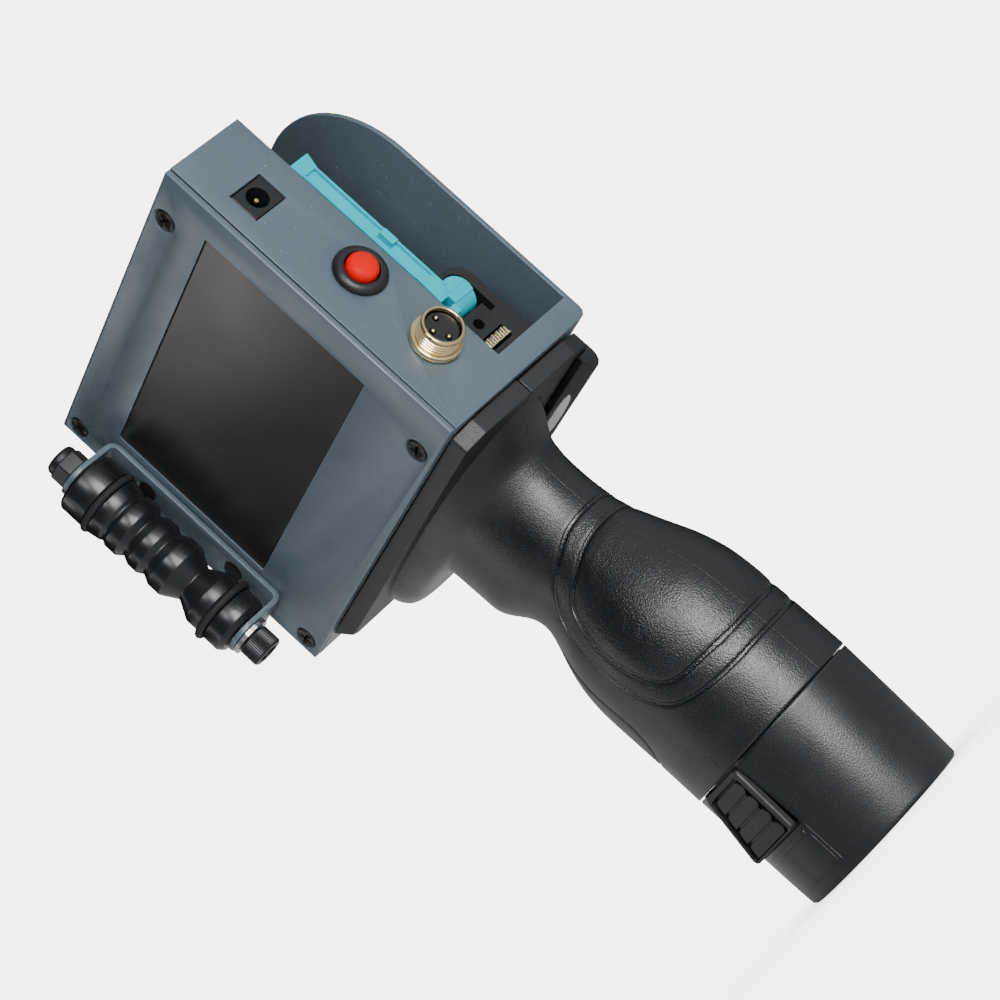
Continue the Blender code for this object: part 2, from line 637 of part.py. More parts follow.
def roller_bracket():
    """U of sheet metal: a web on the screen plate and two ears that hold the axle."""
    back = HEAD_SCREEN - GAP
    reach = -47.3
    outer = 3.2
    inner = outer - SHEET
    outline = rounded([
        (reach, EAR_TOP, 0), (back, EAR_TOP, outer), (back, EAR_BOTTOM, outer),
        (reach, EAR_BOTTOM, 0), (reach, EAR_BOTTOM + SHEET, 0),
        (back - SHEET, EAR_BOTTOM + SHEET, inner), (back - SHEET, EAR_TOP - SHEET, inner),
        (reach, EAR_TOP - SHEET, 0),
    ], steps=4)
    bracket = flat("roller_bracket", outline, -80.5, -67.9, "YZ", "chassis_paint")
    x, y = ROLLER_AXIS
    ear = rounded([(-80.6, -20, 0), (-80.6, reach, 6.2), (-67.8, reach, 6.2), (-67.8, -20, 0)], 6)
    boolean(bracket, flat("ear_shape", ear, EAR_BOTTOM - 2, EAR_TOP + 2, "XY"), "INTERSECT")
    boolean(bracket, cylinder("axle_bore", (x, y, EAR_BOTTOM - 3), "+Z", 3.35, 75, segments=20))
    for index, (screw_x, screw_z) in enumerate(BRACKET_SCREWS):
        boolean(bracket, cylinder(f"web_bore_{index}", (screw_x, back - 3, screw_z), "+Y", 2.4, 5,
                                  segments=12))
        boolean(bracket, cylinder(f"web_sink_{index}", (screw_x, back - SHEET - 0.6, screw_z),
                                  "+Y", 4.2, 1.7, end_radius=2.5, segments=20))
        profile = [(0, 0), (3.0, 0), (3.0, -0.15), (1.5, -1.4), (1.5, -7), (0, -7)]
        turned(f"bracket_screw_{index + 1}", profile, (screw_x, back - SHEET + 0.1, screw_z),
               "-Y", "black_steel", FINE_STEPS)


# The roller from its upper end down: drop below the upper rubber ring, and radius.
ROLLER_PROFILE = (
    (-9.3, 8.9), (-8.6, 9.6), (-1.3, 9.6), (-1.3, 8.0), (1.3, 8.0), (1.3, 9.6), (5.1, 8.9),
    (6.2, 8.3), (7.5, 9.1), (11.3, 9.1), (13.4, 7.4), (15.8, 8.6), (19.1, 8.6), (21.1, 7.4),
    (23.8, 8.8), (28.1, 8.8), (33.2, 5.8), (38.6, 8.8), (42.5, 8.8), (42.5, 8.0), (45.1, 8.0),
    (45.1, 9.0), (50.2, 9.0), (51.7, 7.8),
)


def guide_roller():
    x, y = ROLLER_AXIS
    profile = [(radius, -drop) for drop, radius in ROLLER_PROFILE]
    profile += [(3.35, -51.7), (3.35, 9.3)]
    turned("roller_body", profile, (x, y, UPPER_RING), "+Z", "roller_plastic")
    wire = 1.1
    for name, height in (("o_ring_upper", UPPER_RING), ("o_ring_lower", LOWER_RING)):
        loop = [(9.4 + wire * math.cos(angle), wire * math.sin(angle))
                for angle in [math.pi / 2 - 2 * math.pi * step / 6 for step in range(6)]]
        turned(name, loop, (x, y, height), "+Z", "rubber")


def roller_axle():
    """M6 socket head screw from below, with a washer and a lock nut on top."""
    x, y = ROLLER_AXIS
    under = EAR_BOTTOM - GAP
    turned("axle_washer", [(6.0, 0), (6.0, -1.2), (3.35, -1.2), (3.35, 0)], (x, y, under), "+Z",
           "steel", 20)
    head_top = under - 1.2 - GAP
    screw = turned("axle_screw", [
        (0, 233.4 - head_top), (2.6, 233.4 - head_top), (3.0, 232.8 - head_top), (3.0, 0),
        (4.9, 0), (4.9, -5.6), (4.4, -6.1), (0, -6.1),
    ], (x, y, head_top), "+Z", "black_steel", 24)
    boolean(screw, cylinder("hex_socket", (x, y, head_top - 7), "+Z", 2.9, 4, segments=6))
    nut = hex_nut("axle_nut", (x, y, EAR_TOP + GAP), "+Z", 5.75, 3.35, 5.0, "black_steel")
    collar = turned("nut_collar", [(4.0, 7.2), (4.8, 6.2), (4.8, 4.0), (3.35, 4.0), (3.35, 7.2)],
                    (x, y, EAR_TOP + GAP), "+Z", None, 20)
    boolean(nut, collar, "UNION")


# ---- handle -------------------------------------------------------------------------------

def palm_outline(grow):
    """Outline of the palm pad as seen from the screen side, open towards +X."""
    return rounded([
        (60, 56.4 - grow, 0), (12.6 - grow, 56.4 - grow, 9), (-0.6 - grow, 96.8, 8),
        (16.0 - grow, 111.2 + grow, 5), (60, 111.2 + grow, 0),
    ], steps=4)


def finger_outline(grow):
    """Outline of the finger pad, open towards -X."""
    return rounded([
        (-60, 100.5 + grow, 0), (-17.0 + grow, 100.5 + grow, 5), (-12.0 + grow, 95.0, 5),
        (-4.6 + grow, 61.5, 7), (-12.0 + grow, 53.1 - grow, 5), (-60, 53.1 - grow, 0),
    ], steps=4)


def handle_skin(name, low, high, outset, inset):
    """A tube that follows the handle's surface, from an outset to an inset."""
    sections = between(HANDLE_SECTIONS, low, high)
    skin = loft(name, [section_ring(section, -outset) for section in sections])
    core_sections = [(low - 1, *sections[0][1:]), *sections[1:-1], (high + 1, *sections[-1][1:])]
    core = loft(name + "_core", [section_ring(section, inset) for section in core_sections])
    boolean(skin, core)
    return skin


def handle_solid():
    """Both halves in one piece, before they are parted at y = 0."""
    solid = loft("handle_blank", [section_ring(section) for section in HANDLE_SECTIONS])
    flange = loft("flange_blank", [
        flange_ring(FLANGE_BOTTOM, -64.0), flange_ring(FLANGE_TOP, -71.0),
    ])
    boolean(solid, flange, "UNION")

    cavity_sections = [(38.0, *HANDLE_SECTIONS[0][1:])]
    cavity_sections += [s for s in HANDLE_SECTIONS if 70 < s[0] <= 130]
    cavity_sections.append((134.0, -7.0, 27.0, 27.0, 19.0, 2.0))
    boolean(solid, loft("handle_cavity",
                        [section_ring(s, HANDLE_WALL, 20) for s in cavity_sections]))
    boolean(solid, box("cable_way", (-11, -9, 130), (3, -2.2, 146)))
    for index, (x, z) in enumerate(HANDLE_SCREWS[:2]):
        half = blend_section(HANDLE_SECTIONS, z)[4] - 1.8
        boolean(solid, cylinder(f"screw_boss_{index}", (x, -half, z), "+Y", 5.2, 2 * half),
                "UNION")
    for index, (x, z) in enumerate(HANDLE_SCREWS):
        boolean(solid, cylinder(f"clamp_bore_{index}", (x, -9, z), "+Y", 1.8, 40, segments=12))
        boolean(solid, cylinder(f"clamp_sink_{index}", (x, 10, z), "+Y", 3.6, 20, segments=16))
    for index, (x, y) in enumerate(MOUNT_SCREWS):
        boolean(solid, cylinder(f"flange_bore_{index}", (x, y, 140.9), "+Z", 2.1, 6, segments=12))
    boolean(solid, box("trigger_slot", (-45, -4.9, 114.0), (-22, 4.9, 133.6)))

    seat = handle_skin("palm_seat_skin", 50, 115, 1.5, 1.9)
    boolean(seat, flat("palm_seat_zone", palm_outline(GAP), -40, 40, "XZ"), "INTERSECT")
    boolean(solid, seat)
    seat = handle_skin("finger_seat_skin", 50, 115, 1.5, 1.9)
    boolean(seat, flat("finger_seat_zone", finger_outline(GAP), -40, 40, "XZ"), "INTERSECT")
    boolean(solid, seat)
    return solid


def flange_ring(height, front):
    """Outline of the flange, set in a little from the head."""
    rear = HEAD_REAR - 2.0
    side = 26.0
    corners = [(rear, -19), (rear, 19), (rear - 2.5, side), (front + 3, side), (front, side - 3),
               (front, 3 - side), (front + 3, -side), (rear - 2.5, -side)]
    return [(x, y, height) for x, y in corners]


def handle_halves():
    whole = frozen(handle_solid(), "handle_whole", CUTTERS)
    for name, low, high in (("handle_left", -GAP / 2, 40), ("handle_right", -40, GAP / 2)):
        half = frozen(whole, f"{name}_cut", CUTTERS)
        boolean(half, box(f"{name}_waste", (-90, low, 30), (60, high, 160)))
        finish(frozen(half, name, PRINTER), "handle_plastic")
    for name, outline in (("palm_pad", palm_outline(0)), ("finger_pad", finger_outline(0))):
        skin = handle_skin(f"{name}_skin", 50, 115, 0, 1.6)
        boolean(skin, flat(f"{name}_zone", outline, -40, 40, "XZ"), "INTERSECT")
        pad = frozen(skin, name, PRINTER)
        finish(pad, "soft_grip")


def handle_screws():
    for index, (x, z) in enumerate(HANDLE_SCREWS):
        profile = [(0, 2.0), (2.4, 1.9), (3.1, 1.2), (3.1, 0), (1.45, 0), (1.45, -17), (0, -17)]
        screw = turned(f"handle_screw_{index + 1}", profile, (x, 10.3, z), "+Y", "black_steel",
                       FINE_STEPS)
        for turn, (half_x, half_z) in enumerate(((1.6, 0.3), (0.3, 1.6))):
            slot = box(f"clamp_cross_{index}_{turn}", (x - half_x, 11.3, z - half_z),
                       (x + half_x, 14, z + half_z))
            boolean(screw, slot)
    for index, (x, y) in enumerate(MOUNT_SCREWS):
        seat = HEAD_BOTTOM + SHEET + GAP
        profile = [(0, 2.2), (2.8, 2.1), (3.5, 1.3), (3.5, 0), (1.8, 0), (1.8, -5.4), (0, -5.4)]
        turned(f"mount_screw_{index + 1}", profile, (x, y, seat), "+Z", "black_steel", FINE_STEPS)


def trigger_group():
    """Trigger with a finger hollow, the switch behind it and its return spring."""
    back = -25.0
    outline = rounded([
        (back, 114.6, 0), (-35.6, 114.6, 1.6), (-37.0, 117.5, 2), (-35.0, 124.0, 12),
        (-36.8, 131.0, 2), (-35.4, 133.0, 1), (back, 133.0, 0),
    ], steps=3)
    trigger = flat("trigger", outline, -4.5, 4.5, "XZ", "black_plastic",
                   origin=(-30, 0, TRIGGER_MIDDLE))
    bevel(trigger, 1.0, 2)
    boolean(trigger, box("trigger_stop", (-26.6, -6.1, 116.0), (back + 0.4, 6.1, 131.6)), "UNION")
    coil("trigger_spring", (back + 0.9, 0, TRIGGER_MIDDLE), "+X", 3.2, 0.4, 4.6, 2,
         "spring_steel")
    box("trigger_switch", (-18.4, -5, 116), (-8.2, 5, 132), "black_plastic", edge=0.5)


def underside_rail():
    """Black rail along the far edge of the flange, with a blank pale inlay in its sloping
    underside."""
    top = FLANGE_BOTTOM - GAP
    inner = (22.9, 137.6)
    lower = (27.0, 134.5)
    outline = rounded([
        (inner[0], top, 0), (26.0 + GAP, top, 0), (26.0 + GAP, 141.0, 0), (28.2, 141.0, 0.6),
        (28.2, lower[1], 0.9), (*lower, 0.8), (*inner, 0.6),
    ], steps=3)
    rail = flat("underside_rail", outline, -36, 32.5, "YZ", "black_plastic")
    ends = rounded([(-36, 142, 0), (-36, 134.3, 4), (32.5, 134.3, 4), (32.5, 142, 0)], steps=4)
    boolean(rail, flat("rail_ends", ends, 20, 30, "XZ"), "INTERSECT")
    slope = math.atan2(lower[1] - inner[1], lower[0] - inner[0])
    middle = (5.0, (inner[0] + lower[0]) / 2, (inner[1] + lower[1]) / 2)
    for name, half_long, half_wide, depth, finish_name in (
            ("inlay_seat", 11.3, 1.7, 1.4, None), ("rail_inlay", 11.0, 1.4, 0.6, "blank_inlay")):
        bm = bmesh.new()
        bmesh.ops.create_cone(bm, cap_ends=True, segments=20, radius1=1, radius2=1, depth=1.0)
        bmesh.ops.scale(bm, verts=bm.verts, vec=(half_long, half_wide, depth))
        turn = Matrix.Translation(middle) @ Matrix.Rotation(slope, 4, "X")
        bmesh.ops.transform(bm, verts=bm.verts, matrix=turn)
        piece = to_object(name, bm, finish_name, middle)
        if finish_name is None:
            boolean(rail, piece)


# ---- battery ------------------------------------------------------------------------------

def battery():
    middle_x = 2.4
    housing = loft("battery_housing", [section_ring(s) for s in FOOT_SECTIONS],
                   "handle_plastic", origin=(0, 0, SEAM))
    boolean(housing, cylinder("stem", (middle_x, 0, 30), "+Z", STEM_RADIUS, STEM_TOP - 30,
                              segments=36), "UNION")
    boolean(housing, box("side_panels", (-9.6, -25.9, 3.6), (13.4, 25.9, 16.6)), "UNION")
    boolean(housing, cylinder("cell_space", (middle_x, 0, 6), "+Z", 20.4, 80, segments=36))
    spread = (2 * CELL_RADIUS + GAP) / math.sqrt(3)
    for index in range(3):
        angle = math.radians(90 + 120 * index)
        centre = (middle_x + spread * math.cos(angle), spread * math.sin(angle), 6.3)
        cylinder(f"battery_cell_{index + 1}", centre, "+Z", CELL_RADIUS, 65.0, "cell_wrap", 20)
    contacts = cylinder("battery_contacts", (middle_x, 0, 71.7), "+Z", 20.0, 6.6,
                        "black_plastic", 28)
    for index, y in enumerate((-9, 0, 9)):
        boolean(contacts, box(f"blade_slot_{index}", (-8, y - 1.2, 74), (9, y + 1.2, 82)))

    for side, sign in (("left", -1), ("right", 1)):
        low, high = sorted((sign * 22.2, sign * 30.0))
        boolean(housing, flat(f"latch_pocket_{side}", latch_outline(45, GAP), low, high, "XZ"))
        release_latch(side, sign)
        coil(f"latch_spring_{side}", (LATCH_X, sign * 22.7, 28), "+Y" if sign > 0 else "-Y", 3.0,
             0.25, 0.9, 2, "spring_steel")


def latch_outline(top, margin=0.0):
    """A release latch from the side, wider at its foot, grown by a margin."""
    def widened(height):
        share = (height - LATCH_LOW) / (LATCH_HIGH - LATCH_LOW)
        return (LATCH_FOOT[0] + 4.6 * share - margin, LATCH_FOOT[1] - 0.6 * share + margin)
    low = LATCH_LOW - margin
    return [(widened(low)[0], low), (widened(low)[1], low), (widened(top)[1], top),
            (widened(top)[0], top)]


def release_latch(side, sign):
    """Ribbed release button of the battery: a flat plate that stands out more at its foot."""
    low, high = LATCH_LOW, LATCH_HIGH
    outline = [(sign * 24.2, low), (sign * 26.9, low), (sign * 25.8, high), (sign * 24.2, high)]
    latch = flat(f"battery_latch_{side}", outline, -20, 20, "YZ", "black_plastic",
                 origin=(LATCH_X, sign * 25.5, 28))
    inner, outer = sorted((sign * 22.0, sign * 30.0))
    boolean(latch, flat(f"latch_edge_{side}", latch_outline(high), inner, outer, "XZ"),
            "INTERSECT")
    for index in range(4):
        z = 20.6 + 4.3 * index
        near, far = sorted((sign * 25.4, sign * 31.0))
        boolean(latch, box(f"grip_groove_{side}_{index}", (LATCH_X - 8.0, near, z),
                           (LATCH_X + 7.0, far, z + 1.7)))


# ---- build --------------------------------------------------------------------------------

chassis_shell()
screen_plate()
plate_screws()
display()
charging_socket()
push_button()
connector()
pen_stall()
contact_board()
stall_latch()
roller_bracket()
guide_roller()
roller_axle()
handle_halves()
handle_screws()
trigger_group()
underside_rail()
battery()
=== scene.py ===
"""Handheld date code inkjet printer: the detailed pieces, finishes, light and camera.

Lengths are in millimetres, in the CAD's frame, and are turned into metres when a mesh is made.
"""
import math

import bmesh
import bpy
import numpy as np
from mathutils import Matrix, Vector

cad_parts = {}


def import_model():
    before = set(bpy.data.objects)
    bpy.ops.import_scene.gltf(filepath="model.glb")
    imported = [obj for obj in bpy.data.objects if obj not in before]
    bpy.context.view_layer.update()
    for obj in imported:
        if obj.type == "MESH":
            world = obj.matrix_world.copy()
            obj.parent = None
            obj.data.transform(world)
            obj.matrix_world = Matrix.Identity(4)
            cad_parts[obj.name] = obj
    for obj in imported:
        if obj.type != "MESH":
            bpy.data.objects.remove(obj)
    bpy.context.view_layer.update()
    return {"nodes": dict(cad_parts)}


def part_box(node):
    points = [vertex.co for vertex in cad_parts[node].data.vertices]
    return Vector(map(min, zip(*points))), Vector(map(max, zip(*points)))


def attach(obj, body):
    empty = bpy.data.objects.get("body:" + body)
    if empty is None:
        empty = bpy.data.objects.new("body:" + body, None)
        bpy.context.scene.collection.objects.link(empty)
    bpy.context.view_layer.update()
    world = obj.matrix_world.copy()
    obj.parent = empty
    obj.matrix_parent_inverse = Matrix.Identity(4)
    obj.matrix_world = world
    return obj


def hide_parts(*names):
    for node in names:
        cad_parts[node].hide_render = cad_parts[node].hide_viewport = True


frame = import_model()

MM = 0.001
NODES = frame["nodes"]

# ---- sizes shared with the CAD --------------------------------------------------------------

HEAD_REAR = 40.0
HEAD_SCREEN = -28.0
GAP = 0.3
SEAM = 39.5
STEM_MIDDLE = 2.4
STEM_RADIUS = 21.5
STEM_TOP = 78.6
FLANGE_TOP = 144.7
FLANGE_BOTTOM = 139.5
ROLLER_AXIS = (-74.2, -41.0)
UPPER_RING = 215.2
LOWER_RING = 171.4
EAR_TOP = 226.8
EAR_BOTTOM = 161.6
WASHER = 1.2
BUTTON = (-9.9, 191.3)
CONNECTOR = (-10.2, 165.4)
LATCH_HINGE = (33.5, 171.5)

# A battery release latch from the side: its height, and its x at the foot and at the head
LATCH_LOW = 17.7
LATCH_HIGH = SEAM - 0.6
LATCH_FOOT = (-11.0, 12.5)
LATCH_HEAD = (-6.4, 11.9)
LATCH_SLOPE = (LATCH_HEAD[0] - LATCH_FOOT[0]) / (LATCH_HIGH - LATCH_LOW)

# height, middle x, half length along -X, half length along +X, half width, squareness
HANDLE_SECTIONS = (
    (39.6, 2.8, 30.1, 30.1, 26.0, 2.0), (56.0, 2.5, 29.8, 29.8, 25.9, 2.0),
    (72.0, 1.8, 29.4, 29.4, 25.8, 2.0), (79.0, 1.6, 28.7, 28.7, 25.1, 2.0),
    (84.0, 1.4, 27.2, 27.2, 24.0, 2.0), (88.0, 1.3, 26.2, 26.2, 22.7, 2.0),
    (92.0, 1.2, 24.6, 24.6, 20.9, 2.0), (96.5, 1.1, 23.1, 23.1, 19.0, 2.0),
    (101.0, 0.1, 22.1, 22.1, 17.8, 2.0), (104.0, -1.2, 22.3, 22.3, 17.6, 2.0),
    (106.5, -3.3, 23.2, 23.2, 17.9, 2.0), (109.0, -5.2, 24.6, 24.6, 18.4, 2.0),
    (111.6, -6.8, 25.6, 25.6, 18.7, 2.0), (115.0, -7.0, 25.4, 25.4, 18.5, 2.0),
    (124.0, -7.3, 25.6, 25.6, 18.4, 2.0), (130.0, -7.2, 26.3, 26.8, 18.7, 2.0),
    (131.2, -7.2, 41.0, 27.4, 18.9, 2.2), (132.2, -7.1, 47.0, 28.1, 19.1, 2.4),
    (134.2, -6.6, 52.5, 30.0, 19.6, 2.5), (136.8, -6.2, 55.0, 33.2, 20.1, 2.6),
    (140.6, -6.0, 57.0, 38.0, 20.8, 2.6),
)
FOOT_SECTIONS = (
    (0.0, 2.1, 28.3, 28.3, 24.7, 2.0), (0.8, 2.1, 28.8, 28.8, 25.2, 2.0),
    (17.0, 2.4, 29.4, 29.4, 25.6, 2.0), (SEAM - GAP, 2.8, 30.0, 30.0, 25.9, 2.0),
)

# Moulded lines on the handle seen from the screen side: x, z. Each runs on past the handle.
OUTER_GROOVE = (
    (60, 56.3), (31, 56.3), (28, 56.4), (23.6, 57.0), (18.4, 58.2), (13.9, 60.1), (11.0, 62.5),
    (8.4, 66.5), (5.7, 72.9), (3.9, 79.3), (2.3, 85.4), (0.8, 90.9), (0.5, 95.2), (1.7, 99.0),
    (4.6, 102.4), (8.0, 105.0), (12.2, 107.6), (15.4, 109.9), (17.6, 110.9), (20, 111.3),
    (23, 111.4), (60, 111.4),
)
INNER_GROOVE = (
    (60, 62.3), (31, 62.4), (30, 62.6), (26.5, 63.0), (22.3, 63.5), (18.6, 64.2), (15.8, 65.7),
    (13.3, 68.8), (10.9, 74.0), (8.8, 80.1), (7.4, 86.2), (6.6, 91.6), (6.9, 95.8), (9.4, 98.8),
    (12.6, 100.9), (16.0, 103.5), (18.7, 105.0), (21, 105.8), (24, 106.2), (60, 106.2),
)
FINGER_SEAM = (
    (-60, 100.5), (-24, 100.5), (-20, 100.4), (-15, 99.0), (-12.8, 96.6), (-11.6, 93.0),
    (-8.7, 82.0), (-6.6, 73.4), (-5.5, 66.7), (-6.1, 61.9), (-8.6, 57.2), (-14.2, 53.8),
    (-20, 53.1), (-24, 53.1), (-60, 53.1),
)

# ---- materials ------------------------------------------------------------------------------

class Finish:
    """A principled material with helpers for its procedural detail."""

    def __init__(self, name, colour, roughness, metallic=0.0, **values):
        self.material = bpy.data.materials.new(name)
        self.material.use_nodes = True
        self.tree = self.material.node_tree
        self.shader = self.tree.nodes["Principled BSDF"]
        self.colour = colour
        self.shader.inputs["Base Color"].default_value = (*colour, 1)
        self.shader.inputs["Roughness"].default_value = roughness
        self.shader.inputs["Metallic"].default_value = metallic
        for socket, value in values.items():
            self.shader.inputs[socket.replace("_", " ")].default_value = value
        self.place = self.tree.nodes.new("ShaderNodeTexCoord").outputs["Object"]
        self.bump = None

    def link(self, a, b):
        self.tree.links.new(a, b)

    def noise(self, scale, detail=2.0):
        """Noise with this many bumps to a metre."""
        node = self.tree.nodes.new("ShaderNodeTexNoise")
        node.inputs["Scale"].default_value = scale
        node.inputs["Detail"].default_value = detail
        self.link(self.place, node.inputs["Vector"])
        return node.outputs["Fac"]

    def ranged(self, value, low, high, to_low, to_high):
        """Stretch a value from one range to another."""
        node = self.tree.nodes.new("ShaderNodeMapRange")
        for socket, number in (("From Min", low), ("From Max", high),
                               ("To Min", to_low), ("To Max", to_high)):
            node.inputs[socket].default_value = number
        self.link(value, node.inputs["Value"])
        return node.outputs["Result"]

    def add_bump(self, height, distance):
        """Raise the surface by up to a distance in millimetres, over what is there already."""
        node = self.tree.nodes.new("ShaderNodeBump")
        node.inputs["Distance"].default_value = distance * MM
        self.link(height, node.inputs["Height"])
        if self.bump:
            self.link(self.bump, node.inputs["Normal"])
        self.bump = node.outputs["Normal"]
        self.link(self.bump, self.shader.inputs["Normal"])

    def vary_colour(self, factor, other):
        """Mix towards another colour by a factor, over what is there already."""
        node = self.tree.nodes.new("ShaderNodeMix")
        node.data_type = "RGBA"
        base = self.shader.inputs["Base Color"]
        if base.is_linked:
            self.link(base.links[0].from_socket, node.inputs["A"])
        else:
            node.inputs["A"].default_value = (*self.colour, 1)
        node.inputs["B"].default_value = (*other, 1)
        self.link(factor, node.inputs["Factor"])
        self.link(node.outputs["Result"], base)

    def vary_roughness(self, value, low, high, to_low, to_high):
        self.link(self.ranged(value, low, high, to_low, to_high),
                  self.shader.inputs["Roughness"])

    def engrave(self, attribute, inner, outer, depth, roughness):
        """A crisp channel along a line, from a distance in millimetres kept on the mesh."""
        away = self.tree.nodes.new("ShaderNodeAttribute")
        away.attribute_name = attribute
        level = self.ranged(away.outputs["Fac"], inner, outer, 0.0, 1.0)
        self.add_bump(level, depth)
        rough = self.shader.inputs["Roughness"]
        mix = self.tree.nodes.new("ShaderNodeMix")
        mix.inputs["A"].default_value = roughness
        self.link(rough.links[0].from_socket, mix.inputs["B"])
        self.link(level, mix.inputs["Factor"])
        self.link(mix.outputs["Result"], rough)


def painted_metal():
    """Powder coat: fine orange peel, pale specks and a few rubbed places."""
    f = Finish("blue_grey_powder_coat", (0.080, 0.114, 0.142), 0.38, Specular_IOR_Level=0.70)
    f.add_bump(f.noise(2600, 2), 0.035)
    f.add_bump(f.noise(700, 2), 0.03)
    f.vary_colour(f.ranged(f.noise(38, 4), 0.35, 0.7, 0.0, 0.35), (0.102, 0.138, 0.164))
    f.vary_colour(f.ranged(f.noise(3400, 1), 0.66, 0.74, 0.0, 0.45), (0.22, 0.27, 0.30))
    f.vary_colour(f.ranged(f.noise(1250, 1), 0.775, 0.80, 0.0, 0.8), (0.46, 0.50, 0.52))
    f.vary_roughness(f.noise(120, 3), 0.3, 0.7, 0.30, 0.42)
    return f.material


def moulded_black(name, colour, roughness, grain, depth, lines=False, gloss=0.72):
    """Grained plastic, polished a little where hands rub it, with stray dust."""
    f = Finish(name, colour, roughness, Specular_IOR_Level=gloss)
    f.add_bump(f.noise(grain, 1), depth)
    f.vary_colour(f.ranged(f.noise(55, 4), 0.4, 0.75, 0.0, 0.5),
                  tuple(c * 1.5 + 0.002 for c in colour))
    f.vary_colour(f.ranged(f.noise(1500, 1), 0.79, 0.81, 0.0, 0.35), (0.08, 0.08, 0.08))
    f.vary_roughness(f.noise(90, 3), 0.3, 0.7, roughness - 0.05, roughness + 0.08)
    if lines:
        f.engrave("groove", 0.45, 0.75, 0.30, 0.24)
        f.engrave("seam", 0.10, 0.34, 0.22, 0.5)
    return f.material


def smooth_plastic(name, colour, roughness, **values):
    """Plain moulded plastic, faintly uneven and a little paler in places."""
    f = Finish(name, colour, roughness, **values)
    f.add_bump(f.noise(700, 2), 0.012)
    f.vary_colour(f.ranged(f.noise(60, 3), 0.4, 0.7, 0.0, 0.4),
                  tuple(min(1.0, c * 1.2 + 0.0008) for c in colour))
    f.vary_roughness(f.noise(150, 3), 0.3, 0.7, roughness - 0.04, roughness + 0.06)
    return f.material


def plated(name, colour, roughness):
    """Bright metal, a little darker and duller in places."""
    f = Finish(name, colour, roughness, metallic=1.0)
    f.add_bump(f.noise(1400, 2), 0.008)
    f.vary_colour(f.ranged(f.noise(200, 3), 0.4, 0.75, 0.0, 0.5), tuple(c * 0.72 for c in colour))
    f.vary_roughness(f.noise(400, 3), 0.3, 0.7, roughness - 0.06, roughness + 0.1)
    return f.material


def rubber():
    """Matte black rubber with a pale bloom."""
    f = Finish("matte_rubber", (0.012, 0.013, 0.014), 0.7, Specular_IOR_Level=0.35)
    f.add_bump(f.noise(1800, 2), 0.02)
    f.vary_colour(f.ranged(f.noise(300, 3), 0.5, 0.75, 0.0, 0.6), (0.03, 0.031, 0.033))
    return f.material


def screen_cover():
    """The dark cover of the screen, which is off, with a few specks of dust."""
    f = Finish("dark_screen_cover", (0.014, 0.0145, 0.0145), 0.30)
    f.vary_roughness(f.noise(30, 3), 0.3, 0.7, 0.27, 0.33)
    f.vary_colour(f.ranged(f.noise(700, 1), 0.8, 0.82, 0.0, 0.6), (0.10, 0.10, 0.10))
    return f.material


def circuit():
    """Green solder mask."""
    f = Finish("board_mask", (0.16, 0.30, 0.05), 0.4)
    f.vary_colour(f.ranged(f.noise(500, 2), 0.5, 0.6, 0.0, 0.5), (0.06, 0.16, 0.03))
    return f.material


PAINT = painted_metal()
HANDLE = moulded_black("handle_plastic", (0.0060, 0.0072, 0.0087), 0.34, 2400, 0.095, True)
PALM = moulded_black("palm_leather_grain", (0.0060, 0.0072, 0.0087), 0.32, 2200, 0.13, True)
FINGER = moulded_black("finger_grain", (0.0085, 0.0098, 0.0112), 0.40, 2300, 0.06, True)
FOOT = moulded_black("battery_plastic", (0.0055, 0.0072, 0.0092), 0.32, 2400, 0.045)
BLACK = moulded_black("black_plastic", (0.0090, 0.0102, 0.0118), 0.42, 1700, 0.04, gloss=0.5)
GLOSSY = smooth_plastic("semi_gloss_black", (0.0085, 0.0098, 0.0120), 0.27)
TEAL = smooth_plastic("teal_plastic", (0.000, 0.440, 0.540), 0.40, Specular_IOR_Level=0.14)
RED = smooth_plastic("red_button", (0.74, 0.0, 0.0), 0.42, Specular_IOR_Level=0.06)
RUBBER = rubber()
SCREEN = screen_cover()
NICKEL = plated("nickel_plating", (0.94, 0.73, 0.40), 0.10)
GOLD = plated("gold_plating", (1.0, 0.86, 0.50), 0.22)
STEEL = plated("zinc_plating", (0.56, 0.57, 0.59), 0.32)
OXIDE = Finish("black_oxide", (0.022, 0.023, 0.026), 0.36, metallic=0.4).material
BOARD = circuit()
INLAY = smooth_plastic("pale_inlay", (0.86, 0.86, 0.84), 0.35)

# ---- mesh helpers ---------------------------------------------------------------------------

def piece(name, mesh, materials, body, nodes=(), angle=38, flat=False):
    """Make a mesh, in millimetres, into a piece that rides on a body and stands for nodes.

    A flat piece keeps its big faces plain and shades only the narrow ones between them.
    """
    mesh.transform(Matrix.Scale(MM, 4))
    for one in materials:
        mesh.materials.append(one)
    mesh.shade_smooth()
    mesh.set_sharp_from_angle(angle=math.radians(angle))
    obj = bpy.data.objects.new(name, mesh)
    bpy.context.scene.collection.objects.link(obj)
    if flat:
        modifier = obj.modifiers.new("faces", "WEIGHTED_NORMAL")
        modifier.keep_sharp = True
        apply_modifiers(obj)
    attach(obj, body)
    if nodes:
        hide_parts(*nodes)
    return obj


def apply_modifiers(obj):
    """Keep only the result of an object's modifiers."""
    graph = bpy.context.evaluated_depsgraph_get()
    obj.data = bpy.data.meshes.new_from_object(obj.evaluated_get(graph))
    obj.modifiers.clear()


def from_bmesh(name, bm):
    """A mesh with all its faces turned outwards."""
    bmesh.ops.recalc_face_normals(bm, faces=bm.faces)
    mesh = bpy.data.meshes.new(name)
    bm.to_mesh(mesh)
    bm.free()
    return mesh


